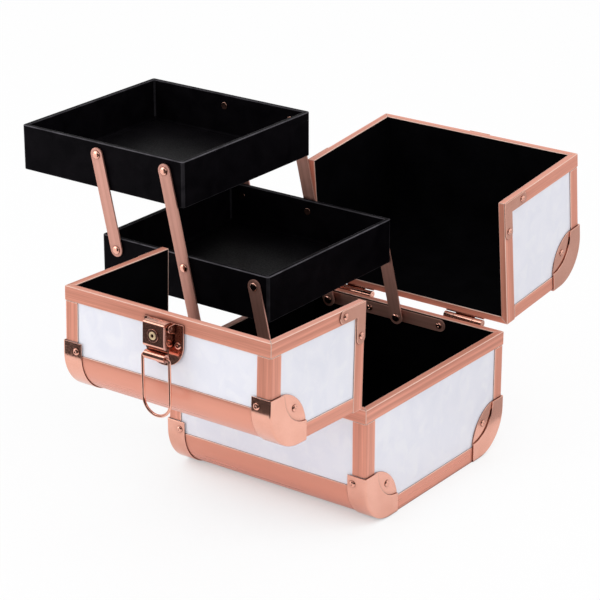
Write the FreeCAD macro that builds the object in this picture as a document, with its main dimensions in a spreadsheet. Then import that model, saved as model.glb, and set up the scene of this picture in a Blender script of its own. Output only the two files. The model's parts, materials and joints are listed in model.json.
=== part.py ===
"""Makeup train case: base box, two half lids and two cantilever trays.

The case stands open on a table. X runs along the clasp side, Y from front to
back and Z up. The origin is the centre of the base's underside. Both lids are
drawn closed on the base and then swung open about their hinge pins.
"""
import FreeCAD, Part
import Sketcher
import math
import os

V = FreeCAD.Vector
doc = FreeCAD.newDocument("makeup_train_case")

# Driving dimensions in millimetres and degrees
SIZES = [
    # Case envelope, over the aluminium profiles
    ("case_length", 200.0),
    ("case_depth", 204.0),
    ("base_height", 105.0),
    ("lid_height", 120.0),
    ("front_lid_depth", 90.0),
    ("split_gap", 2.0),
    ("lid_gap", 1.0),
    # Walls: profile skin, board and lining from outside to inside
    ("skin", 1.0),
    ("board", 4.0),
    ("lining", 1.0),
    ("floor_board", 6.0),
    ("edge_leg", 13.0),
    ("edge_nose", 2.2),
    ("rim_leg", 12.0),
    ("round_radius", 35.0),
    ("round_wall", 2.0),
    ("seat", 0.05),
    # Corner protectors
    ("protector_leg", 45.0),
    ("protector_wrap", 16.0),
    ("protector_plate", 1.2),
    ("protector_raise", 1.2),
    ("protector_band", 16.0),
    ("ear_bulge", 6.5),
    ("protector_edge", 1.6),
    # Rivets and corner braces
    ("rivet_radius", 2.9),
    ("rivet_rise", 1.5),
    ("ear_rivet_in", 30.0),
    ("flap_rivet_x", 12.0),
    ("flap_rivet_in", 38.0),
    ("brace_leg", 34.0),
    ("brace_width", 11.0),
    ("brace_plate", 1.0),
    ("brace_rivet", 27.0),
    # Butt hinges
    ("hinge_centre", 57.0),
    ("hinge_width", 38.0),
    ("hinge_leaf", 1.2),
    ("hinge_leaf_height", 9.0),
    ("hinge_lid_knuckle", 19.0),
    ("knuckle_gap", 0.3),
    ("knuckle_radius", 3.3),
    ("leaf_root", 0.55),
    ("hinge_pin_radius", 1.5),
    ("hinge_pin_drop", 0.5),
    ("front_open", 88.0),
    ("rear_open", 84.0),
    # Trays
    ("tray_length", 174.0),
    ("tray_clear", 15.0),
    ("tray_height", 39.5),
    ("tray_wall", 4.0),
    ("tray_floor", 3.0),
    ("tray_pivot_up", 29.5),
    ("lower_tray_lead", 89.0),
    ("upper_tray_lead", 156.0),
    # Cantilever arms and their pivots
    ("arm_span", 82.0),
    ("arm_width", 12.0),
    ("arm_plate", 1.5),
    ("arm_lean", 13.2),
    ("arm_spacer", 1.0),
    ("pivot_pitch", 72.0),
    ("pivot_x", -72.7),
    ("pivot_drop", 7.0),
    ("pivot_radius", 2.0),
    ("pivot_head", 3.6),
    ("pivot_rise", 1.4),
    ("pivot_rim", 0.42),
    ("pivot_collar", 3.2),
    ("pivot_fit", 0.05),
    ("pivot_float", 0.1),
    ("pivot_inner", 0.8),
    ("strip_width", 11.0),
    ("strip_plate", 1.5),
    ("strip_tail", 46.0),
    ("strip_rivet", 40.0),
    # Clasp
    ("clasp_width", 38.0),
    ("clasp_top", 5.0),
    ("clasp_plate", 1.5),
    ("clasp_drop", 36.0),
    ("cheek_plate", 1.2),
    ("cheek_gap", 0.3),
    ("cheek_round", 3.0),
    ("cheek_foot", 6.0),
    ("clasp_rivet_in", 5.0),
    ("clasp_rivet_drop", 17.0),
    ("lever_width", 20.0),
    ("lever_wall", 1.2),
    ("lever_top", 3.0),
    ("lever_face", 21.0),
    ("lever_rise", 14.0),
    ("lever_foot", 2.5),
    ("lever_bend", 3.0),
    ("lever_pivot_in", 5.0),
    ("lever_pivot_up", 7.0),
    ("lever_pin_radius", 1.2),
    ("barrel_radius", 3.4),
    ("barrel_in", 28.0),
    ("barrel_up", 10.5),
    ("bail_wire", 1.2),
    ("bail_span", 26.0),
    ("bail_length", 49.0),
    ("bail_bend", 2.7),
    ("bail_tuck", 3.6),
    ("lock_radius", 4.0),
    ("lock_flange", 5.2),
    ("lock_depth", 6.0),
    ("key_slot", 1.4),
    ("key_length", 4.8),
    ("key_depth", 1.5),
    # Catch and handle
    ("catch_width", 20.6),
    ("catch_plate", 1.5),
    ("catch_length", 17.0),
    ("catch_rise", 10.0),
    ("catch_lip", 3.0),
    ("handle_centre", 52.0),
    ("bracket_width", 22.0),
    ("bracket_length", 16.0),
    ("bracket_set", 11.0),
    ("bracket_up", 8.0),
    ("handle_wire", 3.0),
    ("handle_reach", 42.0),
    ("handle_bend", 9.0),
    ("handle_turn", 5.4),
    ("handle_rest", 0.3),
    ("bracket_wall", 2.5),
    ("grip_radius", 6.0),
    ("grip_length", 52.0),
    ("grip_taper", 1.2),
    ("grip_nose", 4.0),
]

sheet = doc.addObject("Spreadsheet::Sheet", "d")
for row, (alias, value) in enumerate(SIZES, start=1):
    sheet.set("A%d" % row, alias)
    sheet.set("B%d" % row, str(value))
    sheet.setAlias("B%d" % row, alias)
doc.recompute()


def size(alias):
    return float(sheet.get(alias))


# Levels shared by the pieces, worked out once from the sheet
SKIN = size("skin")
BOARD = size("board")
LINING = size("lining")
WALL = SKIN + BOARD + LINING
OUT_X = size("case_length") / 2
OUT_Y = size("case_depth") / 2
FACE_X = OUT_X - SKIN
FACE_Y = OUT_Y - SKIN
BACK_X = FACE_X - BOARD
BACK_Y = FACE_Y - BOARD
ROOM_X = BACK_X - LINING
ROOM_Y = BACK_Y - LINING
RIM = size("base_height")
LID_RIM = RIM + size("lid_gap")
LID_TOP = LID_RIM + size("lid_height")
FRONT_SPLIT = size("front_lid_depth") - OUT_Y
REAR_SPLIT = FRONT_SPLIT + size("split_gap")
ROUND = size("round_radius")
ROUND_Y = OUT_Y - ROUND
ROUND_LOW = SKIN + ROUND
ROUND_TOP = LID_TOP - ROUND
EDGE_LEG = size("edge_leg")
RIM_LEG = size("rim_leg")
CORNER = size("protector_leg")
PIN_OUT = size("hinge_leaf") + size("knuckle_radius")
PIN_Z = RIM - size("hinge_pin_drop")

# Planes for the outlines: (along, across) read as (Y, Z), (X, Z) or (X, Y)
PLANE_YZ = FreeCAD.Rotation(V(1, 1, 1), 120)
PLANE_XZ = FreeCAD.Rotation(V(1, 0, 0), 90)
PLANE_XY = FreeCAD.Rotation()

nodes = []


def node(label, parts, placement=None):
    """Group the solids of one physical piece, or of a set of like pieces."""
    group = doc.addObject("Part::Compound", label)
    group.Label = label
    group.Links = parts
    if placement is not None:
        group.Placement = placement
    nodes.append(group)
    return group


def block(name, lows, lengths):
    """Board or bar with its corner and its lengths bound to the sheet."""
    box = doc.addObject("Part::Box", name)
    for prop, expression in zip(("Length", "Width", "Height"), lengths):
        box.setExpression(prop, expression)
    for axis, expression in zip("xyz", lows):
        box.setExpression("Placement.Base." + axis, expression)
    return box


def rod(name, radius, height, base, direction):
    """Round bar or drill from a base point along a direction."""
    bar = doc.addObject("Part::Cylinder", name)
    bar.setExpression("Radius", radius)
    bar.setExpression("Height", height)
    bar.Placement = FreeCAD.Placement(base, FreeCAD.Rotation(V(0, 0, 1), direction))
    return bar


def cut(name, body, tool):
    result = doc.addObject("Part::Cut", name)
    result.Base = body
    result.Tool = tool
    return result


def fuse(name, parts):
    result = doc.addObject("Part::MultiFuse", name)
    result.Shapes = parts
    result.Refine = True
    return result


def mirror(name, source, normal):
    """Twin of a piece on the other side of the case's middle plane."""
    twin = doc.addObject("Part::Mirroring", name)
    twin.Source = source
    twin.Base = V(0, 0, 0)
    twin.Normal = normal
    return twin


def arc(centre, radius, start, end):
    """Arc of an outline about a centre, from one angle to another in degrees."""
    a, b = math.radians(start), math.radians(end)
    middle = (a + b) / 2
    return [V(centre[0] + radius * math.cos(t), centre[1] + radius * math.sin(t), 0) for t in (a, middle, b)]


def outline(name, items, plane, offset):
    """Closed sketch from points and arcs, on a plane set off from the origin."""
    sketch = doc.addObject("Sketcher::SketchObject", name)
    sketch.Placement = FreeCAD.Placement(offset, plane)
    runs = []
    for item in items:
        if isinstance(item, list):
            runs.append(item)
        else:
            runs.append([V(item[0], item[1], 0)])
    edges = []
    for here, there in zip(runs, runs[1:] + runs[:1]):
        if len(here) == 3:
            edges.append(Part.Arc(*here))
        if (there[0] - here[-1]).Length > 1e-6:
            edges.append(Part.LineSegment(here[-1], there[0]))
    sketch.addGeometry(edges, False)
    return sketch


def extrude(name, sketch, direction, length):
    solid = doc.addObject("Part::Extrusion", name)
    solid.Base = sketch
    solid.DirMode = "Custom"
    solid.Dir = direction
    solid.setExpression("LengthFwd", length)
    solid.Solid = True
    return solid


def along_x(name, items, start, length):
    """Section in Y and Z drawn at X = start and pulled along X."""
    return extrude(name, outline(name + "_section", items, PLANE_YZ, V(start, 0, 0)), V(1, 0, 0), length)


def along_z(name, items, start, length):
    """Section in X and Y drawn at Z = start and pulled up."""
    return extrude(name, outline(name + "_section", items, PLANE_XY, V(0, 0, start)), V(0, 0, 1), length)


def mitred_rail(name, origin, along, inward, away, length, start_mitre, end_mitre):
    """Rim rail of L section: a cap over the wall's edge and a leg on its face.

    inward runs across the cap and away runs down the leg. A mitre of "across"
    turns the corner within the cap, one of "down" within the leg's face.
    """
    width, leg = WALL, RIM_LEG
    section = [(0, 0), (width, 0), (width, SKIN), (SKIN, SKIN), (SKIN, leg), (0, leg)]
    ends = []
    for mitre, base, sign in ((start_mitre, 0.0, 1.0), (end_mitre, length, -1.0)):
        ring = []
        for across, down in section:
            trim = across if mitre == "across" else down
            ring.append(origin + along * (base + sign * trim) + inward * across + away * down)
        ends.append(ring)
    first, last = ends
    count = len(section)
    faces = [Part.Face(Part.makePolygon(ring + ring[:1])) for ring in ends]
    for i in range(count):
        j = (i + 1) % count
        faces.append(Part.Face(Part.makePolygon([first[i], first[j], last[j], last[i], first[i]])))
    solid = Part.Solid(Part.Shell(faces))
    if solid.Volume < 0:
        solid.reverse()
    rail = doc.addObject("Part::Feature", name)
    rail.Shape = solid
    return rail


def dome(name, radius, rise, seat, direction):
    """Rivet head: a spherical cap on a seat, facing outward."""
    head, tall = size(radius), size(rise)
    sphere_radius = (head * head + tall * tall) / (2 * tall)
    cap = doc.addObject("Part::Sphere", name)
    cap.setExpression("Radius", "(d.{0} ^ 2 + d.{1} ^ 2) / (2 * d.{1})".format(radius, rise))
    cap.Angle1 = math.degrees(math.asin(1 - tall / sphere_radius))
    sink = sphere_radius - tall
    cap.Placement = FreeCAD.Placement(seat - direction * sink, FreeCAD.Rotation(V(0, 0, 1), direction))
    return cap


# Lids are drawn closed and swing open about their hinge pins
def swing(pin_y, angle):
    pin = V(0, pin_y, PIN_Z)
    turn = FreeCAD.Rotation(V(1, 0, 0), angle)
    return FreeCAD.Placement(pin - turn.multVec(pin), turn)


FRONT_SWING = swing(-OUT_Y - PIN_OUT, size("front_open"))
REAR_SWING = swing(OUT_Y + PIN_OUT, -size("rear_open"))

# Base: boards
half_x = "d.case_length / 2"
half_y = "d.case_depth / 2"
back_x = "(d.case_length / 2 - d.skin - d.board)"
round_y = "(d.case_depth / 2 - d.round_radius)"
flange = "(d.protector_wrap + d.skin)"

floor_blank = block(
    "floor_blank",
    ("-" + back_x, "-" + round_y, "0"),
    ("2 * " + back_x, "2 * " + round_y, "d.floor_board"),
)
floor_rebates = []
for side, low in (("left", "-" + half_x), ("right", half_x + " - " + flange)):
    floor_rebates.append(
        block("floor_rebate_" + side, (low, "-" + half_y, "0"), (flange, "2 * " + half_y, "d.skin"))
    )
node("base_floor_panel", [cut("floor_board_rebated", floor_blank, fuse("floor_rebates", floor_rebates))])

front_board = block(
    "base_front_board",
    ("-" + back_x, "-" + half_y + " + d.skin", "d.skin + d.round_radius"),
    ("2 * " + back_x, "d.board", "d.base_height - 2 * d.skin - d.round_radius"),
)
node("base_front_panel", [front_board])
node("base_rear_panel", [mirror("base_rear_board", front_board, V(0, 1, 0))])

base_end_outline = [
    (-FACE_Y, RIM - SKIN),
    arc((-ROUND_Y, ROUND_LOW), ROUND - SKIN, 180, 270),
    arc((ROUND_Y, ROUND_LOW), ROUND - SKIN, 270, 360),
    (FACE_Y, RIM - SKIN),
]
right_end = along_x("base_right_board", base_end_outline, BACK_X, "d.board")
node("base_right_panel", [right_end])
node("base_left_panel", [mirror("base_left_board", right_end, V(1, 0, 0))])


# Base: rounded bottom edges, hollow extrusions with a rib against each board
def round_edge_section(centre_z, side):
    """Quarter-round profile about its centre, below (-1) or above (1) it."""
    deep = SKIN + BOARD
    web = size("round_wall")
    inner = ROUND - web
    turn = math.degrees(math.asin(web / inner))
    if side < 0:
        sweep = arc((-ROUND_Y, centre_z), ROUND, 180, 270)
        back = arc((-ROUND_Y, centre_z), inner, 270 - turn, 180 + turn)
    else:
        sweep = arc((-ROUND_Y, centre_z), ROUND, 180, 90)
        back = arc((-ROUND_Y, centre_z), inner, 90 + turn, 180 - turn)
    return [
        sweep,
        (-ROUND_Y, centre_z + side * (ROUND - deep)),
        (-ROUND_Y - web, centre_z + side * (ROUND - deep)),
        back,
        (-OUT_Y + deep, centre_z + side * web),
        (-OUT_Y + deep, centre_z),
    ]


base_round = along_x("base_front_round", round_edge_section(ROUND_LOW, -1), -BACK_X, "2 * " + back_x)
node("base_round_edges", [base_round, mirror("base_rear_round", base_round, V(0, 1, 0))])

# Base: flat bands along the foot of both ends, with a flange under the floor
band_leg = block(
    "end_band_leg",
    (half_x + " - d.skin", "-" + half_y + " + d.protector_leg", "d.skin"),
    ("d.skin", "2 * (" + half_y + " - d.protector_leg)", "d.edge_leg"),
)
band_flange = block(
    "end_band_flange",
    (half_x + " - " + flange, "-" + half_y + " + d.protector_leg", "0"),
    (flange, "2 * (" + half_y + " - d.protector_leg)", "d.skin"),
)
end_band = fuse("end_band", [band_leg, band_flange])
node("base_end_bands", [end_band, mirror("end_band_left", end_band, V(1, 0, 0))])


# Corner posts: angle profile with a rounded nose
def post_section(corner, first, second):
    """L section at a corner, its legs along two unit directions."""
    nose = size("edge_nose")
    far = EDGE_LEG

    def at(a, b):
        return (corner[0] + first[0] * a + second[0] * b, corner[1] + first[1] * a + second[1] * b)

    middle = nose * (1 - math.sqrt(0.5))
    bend = [V(*at(0, nose), 0), V(*at(middle, middle), 0), V(*at(nose, 0), 0)]
    return [bend, at(far, 0), at(far, SKIN), at(SKIN, SKIN), at(SKIN, far), at(0, far)]


front_post = along_z(
    "base_post",
    post_section((OUT_X, -OUT_Y), (-1, 0), (0, 1)),
    SKIN + CORNER,
    "d.base_height - d.rim_leg - d.skin - d.protector_leg",
)
rear_post = mirror("base_post_rear", front_post, V(0, 1, 0))
node(
    "base_corner_posts",
    [
        front_post,
        rear_post,
        mirror("base_post_left", front_post, V(1, 0, 0)),
        mirror("base_post_rear_left", rear_post, V(1, 0, 0)),
    ],
)

# Base rim: four mitred rails
base_rails = (
    ("rim_front", V(-OUT_X, -OUT_Y, RIM), V(1, 0, 0), V(0, 1, 0), 2 * OUT_X),
    ("rim_rear", V(-OUT_X, OUT_Y, RIM), V(1, 0, 0), V(0, -1, 0), 2 * OUT_X),
    ("rim_left", V(-OUT_X, -OUT_Y, RIM), V(0, 1, 0), V(1, 0, 0), 2 * OUT_Y),
    ("rim_right", V(OUT_X, -OUT_Y, RIM), V(0, 1, 0), V(-1, 0, 0), 2 * OUT_Y),
)
node(
    "base_rim",
    [
        mitred_rail(name, origin, along, inward, V(0, 0, -1), length, "across", "across")
        for name, origin, along, inward, length in base_rails
    ],
)

# Base lining: a tub inside the boards
tub_floor = size("floor_board")
tub_turn = ROUND_LOW - tub_floor


def tub_section(inset, top):
    low = tub_floor + inset
    bend = tub_turn - inset
    return [
        (-BACK_Y + inset, top),
        arc((-BACK_Y + inset + bend, low + bend), bend, 180, 270),
        arc((BACK_Y - inset - bend, low + bend), bend, 270, 360),
        (BACK_Y - inset, top),
    ]


tub = along_x("tub", tub_section(0, RIM - SKIN), -BACK_X, "2 * " + back_x)
tub_room = along_x("tub_room", tub_section(LINING, RIM + SKIN), -ROOM_X, "2 * (" + back_x + " - d.lining)")
node("base_lining", [cut("tub_shell", tub, tub_room)])


# Corner protectors: a wrapped flange, a plate with an ear and a raised band
def protector(name, corner_z, up):
    """Protector of a front right corner; up is 1 at the base, -1 on a lid."""

    def at(p, q):
        return (-OUT_Y + p, corner_z + up * q)

    def bend(radius, start, end):
        angles = (start, end) if up > 0 else (360 - start, 360 - end)
        return arc(at(ROUND, ROUND), radius, *angles)

    outer = ROUND + SKIN
    inner = ROUND + size("seat")
    thin = SKIN - size("seat")
    band = size("protector_band")
    ear_mid = (band + CORNER) / 2 + size("ear_bulge") * math.sqrt(0.5)
    band_mid = CORNER - (CORNER - band) * math.sqrt(0.5)
    ear = [V(*at(CORNER, band), 0), V(*at(ear_mid, ear_mid), 0), V(*at(band, CORNER), 0)]
    inset = [V(*at(CORNER, band), 0), V(*at(band_mid, band_mid), 0), V(*at(band, CORNER), 0)]
    head = [at(-SKIN, CORNER)]
    rim = [bend(outer, 180, 270), at(CORNER, -SKIN)]
    plate = along_x(name + "_plate", rim + [ear] + head, FACE_X, "d.protector_plate")
    raised = along_x(
        name + "_band", rim + [inset] + head, FACE_X, "d.protector_plate + d.protector_raise"
    )
    strap = [
        bend(outer, 180, 270),
        at(CORNER, -SKIN),
        at(CORNER, -SKIN + thin),
        bend(inner, 270, 180),
        at(-SKIN + thin, CORNER),
        at(-SKIN, CORNER),
    ]
    wrap = along_x(
        name + "_wrap",
        strap,
        FACE_X - size("protector_wrap"),
        "d.protector_wrap + d.protector_plate + d.protector_raise",
    )
    shell = fuse(name + "_shell", [plate, raised, wrap])
    doc.recompute()
    outside = FACE_X + size("protector_plate") + size("protector_raise")
    edges = []
    for number, edge in enumerate(shell.Shape.Edges, start=1):
        points = [edge.valueAt(t) for t in (edge.FirstParameter, edge.LastParameter)]
        middle = edge.valueAt((edge.FirstParameter + edge.LastParameter) / 2)
        if any(abs(point.x - outside) > 1e-4 for point in points):
            continue
        p = middle.y + OUT_Y
        q = (middle.z - corner_z) * up
        on_outline = min(p, q) < -SKIN + 1e-3 or abs(math.hypot(p - ROUND, q - ROUND) - outer) < 1e-3
        if on_outline and max(p, q) < CORNER - 1e-3:
            edges.append((number, size("protector_edge"), size("protector_edge")))
    softened = doc.addObject("Part::Fillet", name)
    softened.Base = shell
    softened.Edges = edges
    return softened


def fixed_rivets(name, seats):
    return [
        dome("%s_%d" % (name, number), "rivet_radius", "rivet_rise", seat, direction)
        for number, (seat, direction) in enumerate(seats, start=1)
    ]


EAR_X = FACE_X + size("protector_plate")
EAR_IN = size("ear_rivet_in")
FLAP_X = OUT_X - size("flap_rivet_x")
FLAP_IN = size("flap_rivet_in")

base_guard = protector("base_guard", SKIN, 1)
base_guard_rear = mirror("base_guard_rear", base_guard, V(0, 1, 0))
node(
    "base_protectors",
    [
        base_guard,
        base_guard_rear,
        mirror("base_guard_left", base_guard, V(1, 0, 0)),
        mirror("base_guard_rear_left", base_guard_rear, V(1, 0, 0)),
    ],
)
base_rivet_seats = []
for sx in (-1, 1):
    for sy in (-1, 1):
        base_rivet_seats.append((V(sx * EAR_X, sy * (OUT_Y - EAR_IN), SKIN + EAR_IN), V(sx, 0, 0)))
        base_rivet_seats.append((V(sx * FLAP_X, sy * (OUT_Y + SKIN), SKIN + FLAP_IN), V(0, sy, 0)))
node("base_rivets", fixed_rivets("base_rivet", base_rivet_seats))


# Half lids: the front one is drawn, the rear one has the same sections
def lid_parts(name, sign, split, placement):
    """Boards, profiles, lining and hardware common to both half lids.

    sign is -1 for the front lid and 1 for the rear one; split is its open
    edge in Y. Sections are drawn for the front and mirrored for the rear.
    """
    edge = -sign * split
    mirrored = sign > 0
    depth_key = "d.front_lid_depth" if not mirrored else "(d.case_depth - d.split_gap - d.front_lid_depth)"

    def placed(parts):
        if not mirrored:
            return parts
        return [mirror(part.Name + "_rear", part, V(0, 1, 0)) for part in parts]

    top_board = block(
        name + "_top_board",
        ("-" + back_x, "-" + round_y, "d.base_height + d.lid_gap + d.lid_height - d.skin - d.board"),
        ("2 * " + back_x, depth_key + " - d.round_radius - d.skin", "d.board"),
    )
    node(name + "_top_panel", placed([top_board]), placement)
    face_board = block(
        name + "_face_board",
        ("-" + back_x, "-" + half_y + " + d.skin", "d.base_height + d.lid_gap + d.skin"),
        ("2 * " + back_x, "d.board", "d.lid_height - d.skin - d.round_radius"),
    )
    node(name + "_face_panel", placed([face_board]), placement)
    end_outline = [
        (-FACE_Y, LID_RIM + SKIN),
        (edge - SKIN, LID_RIM + SKIN),
        (edge - SKIN, LID_TOP - SKIN),
        arc((-ROUND_Y, ROUND_TOP), ROUND - SKIN, 90, 180),
    ]
    end_board = along_x(name + "_end_board", end_outline, BACK_X, "d.board")
    right = placed([end_board])
    node(name + "_right_panel", right, placement)
    node(name + "_left_panel", [mirror(name + "_left_board", right[0], V(1, 0, 0))], placement)

    roll = along_x(name + "_round", round_edge_section(ROUND_TOP, 1), -BACK_X, "2 * " + back_x)
    node(name + "_round_edge", placed([roll]), placement)

    upright = along_z(
        name + "_post",
        post_section((OUT_X, -OUT_Y), (-1, 0), (0, 1)),
        LID_RIM + RIM_LEG,
        "d.lid_height - d.rim_leg - d.protector_leg",
    )
    ridge = extrude(
        name + "_ridge",
        outline(
            name + "_ridge_section",
            post_section((OUT_X, LID_TOP), (-1, 0), (0, -1)),
            PLANE_XZ,
            V(0, edge - RIM_LEG, 0),
        ),
        V(0, -1, 0),
        depth_key + " - d.rim_leg - d.protector_leg",
    )
    posts = placed([upright, ridge])
    node(
        name + "_corner_posts",
        posts + [mirror(post.Name + "_left", post, V(1, 0, 0)) for post in posts],
        placement,
    )

    # Rim: three rails round the bottom opening and three round the split
    deep = size("case_depth") / 2 + edge
    high = size("lid_height")
    rails = [
        mitred_rail(
            name + "_rim_hinge",
            V(-OUT_X, -OUT_Y, LID_RIM),
            V(1, 0, 0),
            V(0, 1, 0),
            V(0, 0, 1),
            2 * OUT_X,
            "across",
            "across",
        ),
        mitred_rail(
            name + "_rim_top",
            V(-OUT_X, edge, LID_TOP),
            V(1, 0, 0),
            V(0, 0, -1),
            V(0, -1, 0),
            2 * OUT_X,
            "across",
            "across",
        ),
    ]
    for sx, tag in ((-1, "left"), (1, "right")):
        rails.append(
            mitred_rail(
                name + "_rim_low_" + tag,
                V(sx * OUT_X, -OUT_Y, LID_RIM),
                V(0, 1, 0),
                V(-sx, 0, 0),
                V(0, 0, 1),
                deep,
                "across",
                "down",
            )
        )
        rails.append(
            mitred_rail(
                name + "_rim_split_" + tag,
                V(sx * OUT_X, edge, LID_RIM),
                V(0, 0, 1),
                V(-sx, 0, 0),
                V(0, -1, 0),
                high,
                "down",
                "across",
            )
        )
    node(name + "_rim", placed(rails), placement)

    # Lining: a hood inside the boards, open below and at the split
    def hood_section(inset, low, far):
        bend = ROUND - SKIN - BOARD - inset
        return [
            (-BACK_Y + inset, low),
            (far, low),
            (far, LID_TOP - SKIN - BOARD - inset),
            arc((-BACK_Y + inset + bend, LID_TOP - SKIN - BOARD - inset - bend), bend, 90, 180),
        ]

    hood = along_x(name + "_hood", hood_section(0, LID_RIM + SKIN, edge - SKIN), -BACK_X, "2 * " + back_x)
    hood_room = along_x(
        name + "_hood_room",
        hood_section(LINING, LID_RIM - SKIN, edge + SKIN),
        -ROOM_X,
        "2 * (" + back_x + " - d.lining)",
    )
    node(name + "_lining", placed([cut(name + "_hood_shell", hood, hood_room)]), placement)

    # Corner protectors and the rivets on their ears and flaps
    guard = protector(name + "_guard", LID_TOP, -1)
    guards = placed([guard])
    node(name + "_protectors", guards + [mirror(name + "_guard_left", guards[0], V(1, 0, 0))], placement)
    seats = []
    for sx in (-1, 1):
        seats.append((V(sx * EAR_X, sign * (OUT_Y - EAR_IN), LID_TOP - EAR_IN), V(sx, 0, 0)))
        seats.append((V(sx * FLAP_X, sign * (OUT_Y - FLAP_IN), LID_TOP + SKIN), V(0, 0, 1)))
        seats.append((V(sx * FLAP_X, sign * (OUT_Y + SKIN), LID_TOP - FLAP_IN), V(0, sign, 0)))

    # Corner braces over the mitre of each end's two rails
    leg, wide = size("brace_leg"), size("brace_width")
    half = wide / 2
    brace_outline = [
        (edge, LID_RIM),
        arc((edge - half, LID_RIM + leg - half), half, 0, 180),
        (edge - wide, LID_RIM + wide),
        arc((edge - leg + half, LID_RIM + half), half, 90, 270),
    ]
    brace = along_x(name + "_brace", brace_outline, OUT_X, "d.brace_plate")
    braces = placed([brace])
    node(name + "_braces", braces + [mirror(name + "_brace_left", braces[0], V(1, 0, 0))], placement)
    brace_x = OUT_X + size("brace_plate")
    step = size("brace_rivet")
    for sx in (-1, 1):
        seats.append((V(sx * brace_x, split + sign * half, LID_RIM + step), V(sx, 0, 0)))
        seats.append((V(sx * brace_x, split + sign * step, LID_RIM + half), V(sx, 0, 0)))
    node(name + "_rivets", fixed_rivets(name + "_rivet", seats), placement)


lid_parts("front_lid", -1, FRONT_SPLIT, FRONT_SWING)
lid_parts("rear_lid", 1, REAR_SPLIT, REAR_SWING)


# Butt hinges: two between the base and each lid
def hinge_bore(name, sign, centre_x):
    start = V(centre_x - size("hinge_width") / 2 - 1, sign * (OUT_Y + PIN_OUT), PIN_Z)
    return rod(name, "d.hinge_pin_radius + d.pivot_fit", "d.hinge_width + 2", start, V(1, 0, 0))


def hinge_leaf(name, sign, centre_x, on_lid):
    """Leaf on the outside of a rim with its knuckles about the pin."""
    wide = size("hinge_width")
    thick = size("hinge_leaf")
    bead = size("knuckle_radius")
    middle = size("hinge_lid_knuckle")
    gap = size("knuckle_gap")
    up = 1 if on_lid else -1
    pin_y = OUT_Y + PIN_OUT
    if on_lid:
        starts = [-middle / 2]
        span = "d.hinge_lid_knuckle"
    else:
        outer = (wide - middle) / 2 - gap
        starts = [-wide / 2, wide / 2 - outer]
        span = "(d.hinge_width - d.hinge_lid_knuckle) / 2 - d.knuckle_gap"
    near = PIN_Z + up * bead * size("leaf_root")
    far = PIN_Z + up * (bead + size("hinge_leaf_height"))
    edge_z = PIN_Z + up * bead
    plate = [
        (sign * OUT_Y, near),
        (sign * OUT_Y, far),
        (sign * (OUT_Y + thick), far),
        (sign * (OUT_Y + thick), near),
    ]
    parts = [along_x(name + "_plate", plate, centre_x - wide / 2, "d.hinge_width")]
    for number, start in enumerate(starts, start=1):
        web = [
            (sign * OUT_Y, edge_z),
            (sign * pin_y, edge_z),
            (sign * pin_y, edge_z - up * thick),
            (sign * OUT_Y, edge_z - up * thick),
        ]
        parts.append(along_x("%s_web_%d" % (name, number), web, centre_x + start, span))
        parts.append(
            rod(
                "%s_knuckle_%d" % (name, number),
                "d.knuckle_radius",
                span,
                V(centre_x + start, sign * pin_y, PIN_Z),
                V(1, 0, 0),
            )
        )
    return cut(name, fuse(name + "_blank", parts), hinge_bore(name + "_bore", sign, centre_x))


HINGE_X = size("hinge_centre")
base_leaves = []
pins = []
for sign, tag in ((-1, "front"), (1, "rear")):
    lid_leaves = []
    for sx, side in ((-1, "left"), (1, "right")):
        where = sx * HINGE_X
        base_leaves.append(hinge_leaf("leaf_%s_%s" % (tag, side), sign, where, False))
        lid_leaves.append(hinge_leaf("lid_leaf_%s_%s" % (tag, side), sign, where, True))
        start = V(where - size("hinge_width") / 2, sign * (OUT_Y + PIN_OUT), PIN_Z)
        pins.append(rod("pin_%s_%s" % (tag, side), "d.hinge_pin_radius", "d.hinge_width", start, V(1, 0, 0)))
    node(tag + "_lid_hinges", lid_leaves, FRONT_SWING if sign < 0 else REAR_SWING)
node("base_hinges", base_leaves)
node("hinge_pins", pins)

# Cantilever linkage: the arms lean to the left with the trays raised
LEAN = math.radians(size("arm_lean"))
SPAN = size("arm_span")
PITCH = size("pivot_pitch")
LONG_FOOT = V(size("pivot_x"), 0, RIM - size("pivot_drop"))
RISE = V(-SPAN * math.sin(LEAN), 0, SPAN * math.cos(LEAN))
STEP = V(PITCH, 0, 0)
LONG_MIDDLE = LONG_FOOT + RISE
LONG_TOP = LONG_MIDDLE + RISE
SHORT_FOOT = LONG_FOOT + STEP
SHORT_TOP = LONG_MIDDLE + STEP
LINK_FOOT = LONG_MIDDLE - STEP
LINK_TOP = LONG_TOP - STEP
TRAY_Y = OUT_Y - size("tray_clear")
ARM_IN = TRAY_Y + size("arm_spacer")
ARM_OUT = ARM_IN + size("arm_plate")
STRIP_IN = ROOM_Y - size("strip_plate")


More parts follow.
